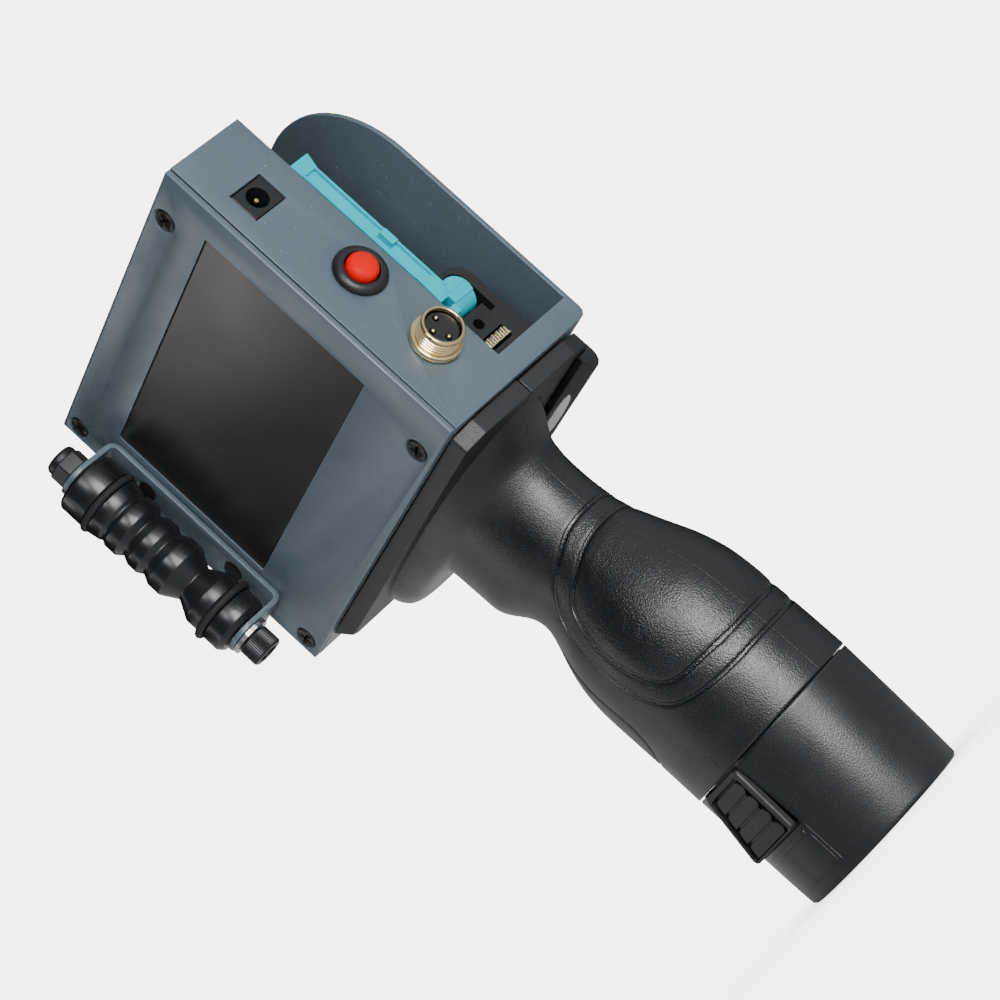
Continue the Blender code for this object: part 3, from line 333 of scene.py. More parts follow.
def refinish(material, *names):
    """Give CAD pieces another material."""
    for name in names:
        data = NODES[name].data
        data.materials.clear()
        data.materials.append(material)


def ring_bands(bm, rings):
    """Join rings of points into bands. A single point closes an end."""
    made = [[bm.verts.new(p) for p in ring] for ring in rings]
    for a, b in zip(made, made[1:]):
        for k in range(max(len(a), len(b))):
            j = (k + 1) % max(len(a), len(b))
            corners = [a[k % len(a)], a[j % len(a)], b[j % len(b)], b[k % len(b)]]
            bm.faces.new(list(dict.fromkeys(corners)))
    return made


def turned_mesh(name, profile, place, axis, steps=96, wobble=None):
    """Turn (radius, height) points about an axis. Repeated points keep an edge crisp."""
    bm = bmesh.new()
    rings = []
    for radius, height in profile:
        ring = []
        for step in range(steps):
            turn = 2 * math.pi * step / steps
            r = radius + (wobble(turn, radius, height) if wobble else 0.0)
            ring.append((r * math.cos(turn), r * math.sin(turn), height))
        rings.append(ring)
    made = ring_bands(bm, rings)
    bm.faces.new(made[0])
    bm.faces.new(made[-1])
    spin = {"Z": Matrix.Identity(4), "X": Matrix.Rotation(math.pi / 2, 4, "Y"),
            "-Y": Matrix.Rotation(math.pi / 2, 4, "X")}
    bmesh.ops.transform(bm, matrix=Matrix.Translation(place) @ spin[axis], verts=bm.verts)
    return from_bmesh(name, bm)


def soft_profile(points, reach, steps=3):
    """Round the corners of an open profile, up to a reach from each."""
    made = [points[0]]
    for before, here, after in zip(points, points[1:], points[2:]):
        a, b, c = Vector(before), Vector(here), Vector(after)
        r = min(reach, (a - b).length * 0.45, (c - b).length * 0.45)
        start = b + (a - b).normalized() * r
        end = b + (c - b).normalized() * r
        for step in range(steps + 1):
            t = step / steps
            made.append(tuple(start * (1 - t) ** 2 + b * 2 * t * (1 - t) + end * t ** 2))
    made.append(points[-1])
    return made


def prism(bm, outline, matrix, low, high, edge=0.0, segments=2):
    """Extrude an outline from low to high and round its edges."""
    first = len(bm.verts)
    count = len(outline)
    lower = [bm.verts.new(matrix @ Vector((a, b, low))) for a, b in outline]
    upper = [bm.verts.new(matrix @ Vector((a, b, high))) for a, b in outline]
    faces = [bm.faces.new(lower), bm.faces.new(list(reversed(upper)))]
    for index in range(count):
        following = (index + 1) % count
        faces.append(bm.faces.new((lower[index], upper[index], upper[following],
                                   lower[following])))
    bmesh.ops.recalc_face_normals(bm, faces=faces)
    if edge:
        edges = {e for face in faces for e in face.edges}
        sharp = [e for e in edges if e.calc_face_angle(0) > math.radians(30)]
        bmesh.ops.bevel(bm, geom=sharp, offset=edge, segments=segments, profile=0.5,
                        affect="EDGES", clamp_overlap=True)
    bm.verts.ensure_lookup_table()
    return bm.verts[first:]


SIDE_ON = Matrix(((1, 0, 0, 0), (0, 0, 1, 0), (0, 1, 0, 0), (0, 0, 0, 1)))    # (x, z) across y
END_ON = Matrix(((0, 0, 1, 0), (1, 0, 0, 0), (0, 1, 0, 0), (0, 0, 0, 1)))     # (y, z) across x
PLAN = Matrix.Identity(4)                                                     # (x, y) across z


def rounded(corners, steps=6):
    """Replace each (x, y, radius) corner of a closed outline by an arc."""
    points = []
    for index, (x, y, radius) in enumerate(corners):
        here = Vector((x, y))
        if radius <= 0:
            points.append((x, y))
            continue
        before = (Vector(corners[index - 1][:2]) - here).normalized()
        after = (Vector(corners[(index + 1) % len(corners)][:2]) - here).normalized()
        half = before.angle(after) / 2
        centre = here + (before + after).normalized() * radius / math.sin(half)
        first = here + before * radius / math.tan(half) - centre
        last = here + after * radius / math.tan(half) - centre
        turn = first.angle_signed(last)
        for step in range(steps + 1):
            points.append(tuple(centre + Matrix.Rotation(-turn * step / steps, 2) @ first))
    return points


def bevelled_copy(node, name, material, body, width):
    """A copy of a CAD piece with its sharp edges rounded."""
    bm = bmesh.new()
    bm.from_mesh(NODES[node].data)
    bmesh.ops.remove_doubles(bm, verts=bm.verts, dist=1e-6)
    bmesh.ops.dissolve_limit(bm, angle_limit=math.radians(1.0), verts=bm.verts, edges=bm.edges)
    mesh = bpy.data.meshes.new(name)
    bm.to_mesh(mesh)
    bm.free()
    mesh.materials.clear()
    mesh.materials.append(material)
    mesh.shade_smooth()
    obj = bpy.data.objects.new(name, mesh)
    bpy.context.scene.collection.objects.link(obj)
    modifier = obj.modifiers.new("edges", "BEVEL")
    modifier.width = width * MM
    modifier.segments = 2
    modifier.limit_method = "ANGLE"
    modifier.angle_limit = math.radians(32)
    modifier.harden_normals = True
    apply_modifiers(obj)
    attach(obj, body)
    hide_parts(node)


def carve(obj, name, bm):
    """Cut a closed shape, in millimetres, out of a piece."""
    cutter = bpy.data.objects.new(name, from_bmesh(name, bm))
    cutter.data.transform(Matrix.Scale(MM, 4))
    bpy.context.scene.collection.objects.link(cutter)
    modifier = obj.modifiers.new("carve", "BOOLEAN")
    modifier.operation = "DIFFERENCE"
    modifier.object = cutter
    apply_modifiers(obj)
    bpy.data.objects.remove(cutter)


def open_tube(name, profile, place, axis, steps=96):
    """A turned piece without end caps, welded where its profile comes back to its start."""
    bm = bmesh.new()
    bm.from_mesh(turned_mesh(name, profile, place, axis, steps))
    caps = [f for f in bm.faces if len(f.verts) > 4]
    bmesh.ops.delete(bm, geom=caps, context="FACES_ONLY")
    bmesh.ops.remove_doubles(bm, verts=bm.verts, dist=0.001)
    return from_bmesh(name, bm)


def arc(middle, radius, first, last, step=8):
    """Points on a circle from one angle to another, in degrees."""
    count = max(2, round(abs(last - first) / step) + 1)
    return [(middle[0] + radius * math.cos(a), middle[1] + radius * math.sin(a))
            for a in np.radians(np.linspace(first, last, count))]


# ---- handle ---------------------------------------------------------------------------------

def smooth_sections(table, heights):
    """Section values at each height, on a curve that never overshoots the table."""
    rows = np.array(table)
    z = rows[:, 0]
    index = np.clip(np.searchsorted(z, heights, side="right") - 1, 0, len(z) - 2)
    span = z[index + 1] - z[index]
    t = (heights - z[index]) / span
    columns = []
    for column in rows[:, 1:].T:
        slope = np.diff(column) / np.diff(z)
        tangent = np.concatenate((slope[:1], np.zeros(len(slope) - 1), slope[-1:]))
        for k in range(1, len(slope)):
            if slope[k - 1] * slope[k] > 0:
                tangent[k] = 2 * slope[k - 1] * slope[k] / (slope[k - 1] + slope[k])
        a, b = column[index], column[index + 1]
        m, n = tangent[index] * span, tangent[index + 1] * span
        columns.append((2 * t ** 3 - 3 * t ** 2 + 1) * a + (t ** 3 - 2 * t ** 2 + t) * m
                       + (3 * t ** 2 - 2 * t ** 3) * b + (t ** 3 - t ** 2) * n)
    return np.array(columns)


def eased_sections(table, heights):
    """Sections averaged over a few millimetres of height, less so up by the flange."""
    total, weights = 0.0, 0.0
    spread = np.interp(heights, (41, 45, 112, 124, 129, 141), (0.2, 2.8, 2.8, 1.6, 0.5, 0.3))
    for step in np.linspace(-2, 2, 17):
        at = np.clip(heights + step * spread, table[0][0], table[-1][0] - 1e-6)
        weight = math.exp(-step * step / 2)
        total = total + weight * smooth_sections(table, at)
        weights += weight
    return total / weights


def wall_grid(table, heights, angles):
    """Points and outward normals of a handle wall, as (height, angle) grids."""
    middle, front, rear, width, square = eased_sections(table, heights)[:, :, None]
    along, across = np.cos(angles)[None, :], np.sin(angles)[None, :]
    power = np.where(along > 0, 1.0, 2.0 / square)
    length = np.where(along > 0, rear, front)
    x = middle + length * np.sign(along) * np.abs(along) ** power
    y = width * np.sign(across) * np.abs(across) ** power
    points = np.stack((x, y, np.broadcast_to(heights[:, None], x.shape)), axis=2)
    du = np.roll(points, -1, axis=1) - np.roll(points, 1, axis=1)
    dv = np.gradient(points, axis=0)
    normals = np.cross(du, dv)
    normals /= np.linalg.norm(normals, axis=2, keepdims=True) + 1e-12
    return points, normals


def dense(line, spacing=0.5):
    """Points every half millimetre or so along a smooth curve through a line's points."""
    p = np.array([line[0], *line, line[-1]], float)
    made = []
    for a, b, c, d in zip(p, p[1:], p[2:], p[3:]):
        count = max(2, int(np.linalg.norm(c - b) / spacing))
        for t in np.arange(count) / count:
            made.append(0.5 * (2 * b + (c - a) * t + (2 * a - 5 * b + 4 * c - d) * t ** 2
                               + (3 * b - a - 3 * c + d) * t ** 3))
    made.append(p[-1])
    return np.array(made)


def distance_to(line, x, z):
    """Distance from each point to a dense line, as seen from the screen side."""
    flat = np.stack((x.ravel(), z.ravel()), axis=1)
    near = np.full(len(flat), 1e9)
    for a, b in zip(line, line[1:]):
        step = b - a
        t = np.clip(((flat - a) @ step) / (step @ step + 1e-12), 0, 1)
        near = np.minimum(near, np.linalg.norm(flat - (a + t[:, None] * step), axis=1))
    return near.reshape(x.shape)


def inside(line, x, z):
    """Whether points fall inside the loop that a line closes."""
    found = np.zeros(x.shape, bool)
    for (ax, az), (bx, bz) in zip(line, np.roll(line, -1, axis=0)):
        crosses = (az > z) != (bz > z)
        with np.errstate(divide="ignore", invalid="ignore"):
            at = (bx - ax) * (z - az) / (bz - az) + ax
        found ^= crosses & (x < at)
    return found


def valley(distance, half_width, depth):
    """A soft dip along a line, from the distance to it."""
    return depth * np.exp(-(distance / half_width) ** 2)


def grid_piece(name, points, keep, finish, distances, body, nodes):
    """A piece from the faces of a grid that are kept. Columns close on themselves."""
    columns = points.shape[1]
    r, c = np.nonzero(keep)
    following = (c + 1) % columns
    quads = np.stack((r * columns + c, r * columns + following,
                      (r + 1) * columns + following, (r + 1) * columns + c), axis=1)
    used, renumbered = np.unique(quads, return_inverse=True)
    mesh = bpy.data.meshes.new(name)
    mesh.from_pydata(points.reshape(-1, 3)[used].tolist(), [],
                     renumbered.reshape(-1, 4).tolist())
    for key, values in distances.items():
        attribute = mesh.attributes.new(key, "FLOAT", "POINT")
        attribute.data.foreach_set("value", values.ravel()[used].astype(np.float32))
    mesh.update()
    return piece(name, mesh, [finish], body, nodes, angle=60)


def ring_angles(count):
    """Even angles, with a few more each side of the parting line."""
    even = np.arange(count) * 2 * math.pi / count
    close = np.radians([0.35, 0.8, 1.4])
    extra = np.concatenate([centre + side * close for centre in (0, math.pi)
                            for side in (-1, 1)]) % (2 * math.pi)
    return np.unique(np.round(np.concatenate((even, extra)), 6))


def handle():
    """The grip's halves and cushions, cut from one wall with its moulded lines, and the bay."""
    angles = ring_angles(560)
    heights = np.concatenate((np.linspace(SEAM + 0.1, SEAM + 0.9, 5),
                              np.arange(40.8, 129.8, 0.34), np.linspace(129.9, 139.6, 36)))
    points, normals = wall_grid(HANDLE_SECTIONS, heights, angles)
    x, y, z = (points[:, :, k] for k in range(3))
    outer, inner, seam = dense(OUTER_GROOVE), dense(INNER_GROOVE), dense(FINGER_SEAM)
    unset = 99.0
    to_outer = np.full(x.shape, unset)
    to_inner, to_seam = to_outer.copy(), to_outer.copy()
    band = (z > 50) & (z < 116)
    palm_side, finger_side = band & (x > -6), band & (x < 2)
    tick_x, tick_z, tick_half, far = 9.0, 43.6, 1.2, 9.0
    past_end = np.maximum(np.abs(z - tick_z) - tick_half, 0)
    tick = np.where(y < 0, np.hypot(x - tick_x, past_end), far)
    to_outer[palm_side] = distance_to(outer, x[palm_side], z[palm_side])
    to_inner[palm_side] = distance_to(inner, x[palm_side], z[palm_side])
    to_seam[finger_side] = distance_to(seam, x[finger_side], z[finger_side])
    in_palm = inside(outer, x, z)
    groove = np.minimum(to_outer, to_inner)
    parting = np.abs(y) + np.where(in_palm, 0.18, np.where(x > 0, 0.12, 0.06))
    line = np.minimum(np.minimum(to_seam, parting), far)
    line = np.minimum(line, tick * 0.6)
    cut = valley(groove, 0.85, 0.28) + valley(to_seam, 0.5, 0.35) + valley(z - SEAM, 0.3, 0.22)
    crown = 0.22 * np.clip((to_inner - 0.8) / 3.0, 0, 1)
    cut -= crown * inside(inner, x, z) * (to_inner < unset)
    points = points - normals * cut[:, :, None]

    centre_x = (x[:-1] + np.roll(x[:-1], -1, axis=1)) / 2
    centre_y = (y[:-1] + np.roll(y[:-1], -1, axis=1)) / 2
    centre_z = (z[:-1] + z[1:]) / 2
    palm = inside(outer, centre_x, centre_z)
    finger = inside(seam, centre_x, centre_z)
    rest = ~palm & ~finger
    distances = {"groove": groove, "seam": line}
    parts = (("grip_left", rest & (centre_y < 0), HANDLE, "handle_left", "handle_plastic"),
             ("grip_right", rest & (centre_y >= 0), HANDLE, "handle_right", "handle_plastic"),
             ("palm_cushion", palm, PALM, "palm_pad", "soft_grip"),
             ("finger_cushion", finger, FINGER, "finger_pad", "soft_grip"))
    for name, keep, finish, node, slot in parts:
        grid_piece(name, points, keep, finish, distances, "printer", [node])
    battery_bay(points[0], angles)


def battery_bay(rim, angles):
    """The round well in the handle that the battery's stem slides into."""
    radius, end = STEM_RADIUS * 1.014, STEM_TOP + 0.35
    inner = [(STEM_MIDDLE + radius * math.cos(a), radius * math.sin(a)) for a in angles]
    well = [(x, y, SEAM + 0.1) for x, y in inner]
    top = [(x, y, end) for x, y in inner]
    bm = bmesh.new()
    ring_bands(bm, [[tuple(p) for p in rim], well, top, [(STEM_MIDDLE, 0, end)]])
    piece("battery_bay", from_bmesh("battery_bay", bm), [HANDLE], "printer")


def flange():
    """The plate under the head, in two halves, its front end sloping back towards the bottom."""
    rear, side, front = HEAD_REAR - 2.0, 26.0, -71.0
    for name, sign, drop in (("flange_left", -1, 0.0), ("flange_right", 1, 0.35)):
        seam_y = sign * 0.08
        half = rounded([(rear, seam_y, 0), (rear, sign * 19.0, 1.5),
                        (rear - 2.5, sign * side, 1.2), (front + 3, sign * side, 1.5),
                        (front, sign * (side - 3), 1.5), (front, seam_y, 0)], steps=4)
        bm = bmesh.new()
        verts = prism(bm, half, PLAN, FLANGE_BOTTOM, FLANGE_TOP - drop, edge=0.45)
        for vert in verts:
            if vert.co.x < -40:
                share = (FLANGE_TOP - vert.co.z) / (FLANGE_TOP - FLANGE_BOTTOM)
                vert.co.x += 7.0 * share * (-40 - vert.co.x) / 31.0
        piece(name, from_bmesh(name, bm), [HANDLE], "printer",
              flat=True)


# ---- cartridge latch ------------------------------------------------------------------------

def cartridge_latch():
    """Sprung bar with raised edges, a flared thumb tab, a boss and a hub on the hinge pin."""
    face = HEAD_REAR - 1.4
    left, right, foot = 1.7, 7.0, 173.2
    pivot = (9.3, 172.3)
    bm = bmesh.new()
    bar = [(left, foot), (right, foot), (right, 221.5), (left, 221.5)]
    prism(bm, bar, END_ON, face - 2.0, face - 1.15, edge=0.12)
    for near, far, low in ((left, 2.3, 181.0), (6.3, right, 175.5)):
        rib = [(near, low), (far, low), (far, 220.6), (near, 220.6)]
        prism(bm, rib, END_ON, face - 1.9, face - 0.02, edge=0.14)
    inner = [(5.2, 180.5), (5.6, 180.5), (5.6, 219.4), (5.2, 219.4)]
    prism(bm, inner, END_ON, face - 1.9, face - 0.75, edge=0.08)
    tab = rounded([(1.25, 224.9, 0.3), (8.35, 224.9, 0.3), (7.1, 220.4, 0.3),
                   (1.65, 220.4, 0.3)], 3)
    prism(bm, tab, END_ON, face - 2.2, face - 0.02, edge=0.18)
    lip = rounded([(1.9, 224.2, 0.2), (7.7, 224.2, 0.2), (7.5, 223.4, 0.2),
                   (2.0, 223.4, 0.2)], 2)
    prism(bm, lip, END_ON, face - 2.0, face, edge=0.1)
    boss = arc((left, 177.0), 4.9, 86, -40) + [(5.4, foot), (left, foot)]
    prism(bm, boss, END_ON, face - 1.8, face - 0.2, edge=0.16)
    x, z = LATCH_HINGE
    disc = arc(pivot, 4.4, 195, -60, 7) + [(9.0, 168.2), (5.2, 168.6)]
    prism(bm, disc, END_ON, x - 1.5, x + 3.4, edge=0.25)
    prism(bm, arc(pivot, 3.3, 0, 352), END_ON, x + 3.0, x + 3.75, edge=0.15)
    hub = arc((x, z), 4.85, 150, 338)
    hub += [(x + 5.0, z - 1.9), (x + 5.0, z + 1.1), (x + 2.4, z + 1.5), (x + 2.2, z + 3.4),
            (x - 1.0, z + 4.3)]
    prism(bm, hub, SIDE_ON, 4.6, 11.9, edge=0.14)
    lug = [(x + 4.3, z - 4.2), (x + 4.3, z - 1.5), (x - 2.0, z - 1.5), (x - 2.0, z - 4.2)]
    prism(bm, lug, SIDE_ON, 1.6, 4.8, edge=0.2)
    web = [(left, z + 0.8), (5.4, z + 0.8), (5.4, 173.6), (left, 173.6)]
    prism(bm, web, END_ON, face - 2.0, face - 0.3, edge=0.12)
    catch = piece("cartridge_catch", from_bmesh("catch", bm), [TEAL], "cartridge_latch",
                  ["stall_latch"], angle=35, flat=True)
    window = bmesh.new()
    prism(window, [(4.0, 191.7), (6.4, 191.7), (6.4, 196.3), (4.0, 196.3)], END_ON, face - 4,
          face + 1)
    carve(catch, "window", window)


# ---- battery --------------------------------------------------------------------------------

def latch_outline(margin=0.0, rise=0.0):
    """A release latch from the side, wider at its foot, grown by a margin."""
    low, high = LATCH_LOW - margin, LATCH_HIGH + margin + rise
    return [(LATCH_FOOT[0] - margin - LATCH_SLOPE * margin, low), (LATCH_FOOT[1] + margin, low),
            (LATCH_HEAD[1] + margin, high),
            (LATCH_HEAD[0] - margin + LATCH_SLOPE * (margin + rise), high)]


def battery():
    """The foot with its stem, cut for the release latches, and the raised side panels."""
    angles = ring_angles(300)
    heights = np.concatenate(([0.0, 0.08, 0.25, 0.5, 0.8], np.arange(1.5, 38.5, 1.0),
                              [38.4, 38.8, 39.0, 39.2]))
    points, normals = wall_grid(FOOT_SECTIONS, heights, angles)
    z = points[:, :, 2]
    cut = valley(z - SEAM + GAP, 0.25, 0.2) + valley(z, 0.25, 0.35)
    points = points - normals * cut[:, :, None]
    points[0, :, 2] = 0.0
    stem = ((STEM_RADIUS, SEAM), (STEM_RADIUS, STEM_TOP - 0.8), (STEM_RADIUS - 0.8, STEM_TOP))
    rings = [[(2.1, 0.0, 0.0)]] + [[tuple(p) for p in row] for row in points]
    middle = Vector((2.6, 0.0))
    for inset, height in ((1.3, 39.2), (1.5, SEAM + 0.02)):
        rings.append([(*(Vector(p[:2]) - (Vector(p[:2]) - middle).normalized() * inset), height)
                      for p in points[-1]])
    rings += [[(STEM_MIDDLE + r * math.cos(a), r * math.sin(a), height) for a in angles]
              for r, height in stem]
    rings.append([(STEM_MIDDLE, 0.0, STEM_TOP)])
    bm = bmesh.new()
    ring_bands(bm, rings)
    case = piece("battery_case", from_bmesh("battery_case", bm), [FOOT], "battery",
                 ["battery_housing"], angle=45)
    for low, high in ((-30.0, -22.2), (22.2, 30.0)):
        bm = bmesh.new()
        prism(bm, latch_outline(GAP, 1.2), SIDE_ON, low, high)
        carve(case, "pocket", bm)
    case.data.shade_smooth()
    case.data.set_sharp_from_angle(angle=math.radians(35))
    bm = bmesh.new()
    middle_x, half_length, half_width = 2.3, 29.1, 25.4
    for sign in (-1, 1):
        back = sign * 22.4
        for first, last, proud, low, high in ((-9.3, 13.2, 0.3, 3.8, 16.3),
                                              (-8.7, 12.3, 0.5, 4.5, 14.0),
                                              (-9.0, 11.4, 0.5, 14.7, 16.0)):
            along = np.linspace(first, last, 22)
            wall = half_width * np.sqrt(1 - ((along - middle_x) / half_length) ** 2)
            across = sign * (proud + np.minimum(wall, half_width - 0.1))
            outline = [(first, back), *zip(along, across), (last, back)]
            prism(bm, outline, PLAN, low, high, edge=0.12)
    piece("battery_panels", from_bmesh("battery_panels", bm), [FOOT], "battery",
          angle=45, flat=True)
    for side, sign in (("left", -1), ("right", 1)):
        release_latch(side, sign)


def release_latch(side, sign):
    """Frame with a rounded rim round a well of four flat ribs, leaning out at its foot."""
    lean = 1.1 / (LATCH_HIGH - LATCH_LOW)
    outermost = 26.8
    place = Matrix(((1, 0, 0, 0), (0, 0, sign, 0), (0, 1, 0, 0), (0, 0, 0, 1)))
    (left, low), (right, _), (top_right, high), (top_left, _) = latch_outline()
    outer = rounded([(left, low, 1.4), (right, low, 1.2), (top_right, high, 1.6),
                     (top_left, high, 1.8)], 5)
    hole = rounded([(left + 1.3, low + 0.9, 0.8), (right - 2.0, low + 0.9, 0.8),
                    (top_right - 2.0, high - 1.9, 1.0), (top_left + 1.2, high - 1.9, 1.2)], 5)
    middle = Vector((1.8, 28.3))

    def grown(outline, by):
        """Move each point of an outline away from the middle."""
        return [tuple(Vector(p) + (Vector(p) - middle).normalized() * by) for p in outline]

    rings = [[place @ Vector((*p, y)) for p in shape] for shape, y in (
        (outer, 23.9), (outer, 25.1), (grown(outer, -0.12), 25.45), (grown(outer, -0.45), 25.72),
        (grown(hole, 0.5), 25.8), (grown(hole, 0.15), 25.65), (hole, 25.3), (hole, 24.15))]
    bm = bmesh.new()
    made = ring_bands(bm, rings)
    bm.faces.new(made[0])
    bm.faces.new(made[-1])
    pitch = 4.55
    for index in range(4):
        z = low + 1.0 + pitch * index
        start = left + 2.9 + (z - low) * LATCH_SLOPE
        rib = rounded([(start, z + 0.1, 0.3), (start + 1.0, z + 3.9, 1.5), (8.6, z + 3.9, 1.6),
                       (9.8, z + 1.0, 1.4), (8.4, z + 0.1, 0.4)], 5)
        prism(bm, rib, place, 24.0, 25.6, edge=0.2)
        if index < 3:
            bar = [(start + 2.2, z + 2.9), (start + 2.6, z + pitch + 0.5),
                   (7.2, z + pitch + 0.5), (7.2, z + 2.9)]
            prism(bm, bar, place, 24.0, 25.1)
    for vert in bm.verts:
        leaning = abs(vert.co.y) + lean * (high - vert.co.z)
        vert.co.y = sign * min(leaning, outermost)
    piece(f"release_{side}_frame", from_bmesh(f"release_{side}", bm), [BLACK],
          f"release_{side}", [f"battery_latch_{side}"], flat=True)


# ---- head: fittings -------------------------------------------------------------------------

def cross_screws():
    """Countersunk heads with a cross recess, in place of the plate's screws."""
    for index in range(4):
        low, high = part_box(f"plate_screw_{index + 1}")
        middle = (low + high) / 2 / MM
        profile = soft_profile([(0.01, 0.0), (2.95, 0.0), (3.05, -0.35), (1.4, -1.9),
                                (1.4, -8.5), (0.01, -8.5)], 0.25)
        mesh = turned_mesh("screw", profile, (middle.x, HEAD_SCREEN + 0.2, middle.z), "-Y", 48)
        obj = piece(f"cross_screw_{index + 1}", mesh, [OXIDE], "printer",
                    [f"plate_screw_{index + 1}"])
        for turn in (0, 90):
            bm = bmesh.new()
            slot = rounded([(-1.75, -0.33, 0.25), (1.75, -0.33, 0.25), (1.75, 0.33, 0.25),
                            (-1.75, 0.33, 0.25)], 3)
            place = (Matrix.Translation((middle.x, HEAD_SCREEN, middle.z))
                     @ Matrix.Rotation(math.radians(38 + 17 * index + turn), 4, "Y") @ SIDE_ON)
            prism(bm, slot, place, -1.0, 1.3)
            carve(obj, "slot", bm)


def connector():
    """Threaded barrel with a flange, a glossy insert and three round contacts."""
    y, z = CONNECTOR
    face = (HEAD_REAR, y, z)
    thread = []
    for turn in range(4):
        top = 6.45 - 1.0 * turn
        thread += [(5.95, top), (5.93, top - 0.14), (5.33, top - 0.46), (5.33, top - 0.62),
                   (5.93, top - 0.94)]
    shell = [(4.95, -1.0), (4.95, 7.0), (5.02, 7.28), (5.25, 7.4), (5.6, 7.36), (5.85, 7.15),
             (5.95, 6.85), *thread, (5.7, 2.42), (5.75, 2.32), (6.6, 2.25), (6.95, 2.1),
             (7.1, 1.8), (7.1, 0.75), (6.95, 0.4), (6.6, 0.3), (5.9, 0.3), (5.9, -8.5)]
    piece("connector_barrel", open_tube("barrel", shell, face, "X"), [NICKEL], "printer",
          ["connector_shell"])
    for index in range(3):
        low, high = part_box(f"connector_pin_{index + 1}")
        start = (HEAD_REAR + 2.0, (low.y + high.y) / 2 / MM, (low.z + high.z) / 2 / MM)
        profile = [(0.01, 4.8), (0.22, 4.77), (0.4, 4.66), (0.52, 4.45), (0.55, 4.1),
                   (0.55, 0.3), (0.01, 0.3)]
        piece(f"contact_pin_{index + 1}", turned_mesh("pin", profile, start, "X", 24), [GOLD],
              "printer", [f"connector_pin_{index + 1}"])


def contact_strip():
    """A row of bright contact fingers, one long and one short, on a dark strip."""
    near, far, low, high = 2.4, 10.8, 155.2, 157.7
    bm = bmesh.new()
    prism(bm, [(near, low), (far, low), (far, high), (near, high)], END_ON, 31.0, 36.9, edge=0.1)
    piece("contact_base", from_bmesh("contact_base", bm), [BLACK], "printer",
          ["contact_board"], flat=True)
    bm = bmesh.new()
    foot = low - 0.05
    for index in range(9):
        y = near + 0.1 + 0.93 * index
        top = high - (0.1 if index % 2 else 0.45)
        finger = [(y, foot), (y + 0.52, foot), (y + 0.52, top), (y, top)]
        prism(bm, finger, END_ON, 36.5, 37.3, edge=0.12)
    lower, upper = low - 0.25, low + 0.1
    prism(bm, [(near, lower), (far, lower), (far, upper), (near, upper)], END_ON, 36.4, 37.35,
          edge=0.08)
    piece("contact_fingers", from_bmesh("contact_fingers", bm), [GOLD], "printer",
          flat=True)


def button():
    """The round guard and the domed red cap that moves in it."""
    y, z = BUTTON
    face = (HEAD_REAR, y, z)
    bezel = [(4.8, -3.0), (4.8, 1.9), (4.95, 2.2), (5.3, 2.3), (5.9, 2.25), (6.5, 2.0),
             (7.0, 1.6), (7.35, 1.1), (7.5, 0.7), (7.5, 0.45), (7.4, 0.3), (5.9, 0.3),
             (5.9, -9.5)]
    piece("button_ring", open_tube("bezel", bezel, face, "X"), [BLACK], "printer",
          ["button_bezel"])
    cap = [(0.01, 4.5), (1.2, 4.47), (2.3, 4.35), (3.1, 4.12), (3.7, 3.75), (4.15, 3.2),
           (4.38, 2.6), (4.45, 1.9), (4.45, -4.0), (0.01, -4.0)]
    piece("button_dome", turned_mesh("dome", cap, face, "X", 96), [RED], "start_button",
          ["button_cap"])


def roller():
    """The barrel, from (depth below the upper ring, radius) points, and its two rubber rings."""
    x, y = ROLLER_AXIS
    profile = (
        (-9.3, 8.9), (-8.6, 9.6), (-1.3, 9.6), (-1.3, 8.0), (1.3, 8.0), (1.3, 9.6), (5.1, 8.9),
        (6.2, 8.3), (7.5, 9.1), (11.3, 9.1), (13.4, 7.4), (15.8, 8.6), (19.1, 8.6), (21.1, 7.4),
        (23.8, 8.8), (28.1, 8.8), (33.2, 5.8), (38.6, 8.8), (42.5, 8.8), (42.5, 8.0), (45.1, 8.0),
        (45.1, 9.0), (50.2, 9.0), (51.7, 7.8),
    )
    outline = soft_profile([(radius, -drop) for drop, radius in profile], 0.3, 2)
    bore = 3.4
    outline = [(bore, 9.3)] + outline + [(bore, -51.7)]
    piece("roller_barrel", turned_mesh("barrel", outline, (x, y, UPPER_RING), "Z", 128),
          [GLOSSY], "roller", ["roller_body"], angle=50)
    for name, node, height in (("upper_o_ring", "o_ring_upper", UPPER_RING),
                               ("lower_o_ring", "o_ring_lower", LOWER_RING)):
        loop = arc((9.25, 0.0), 1.1, 90, -270, 22.5)
        piece(name, open_tube(name, loop, (x, y, height), "Z", 128), [RUBBER], "roller", [node])


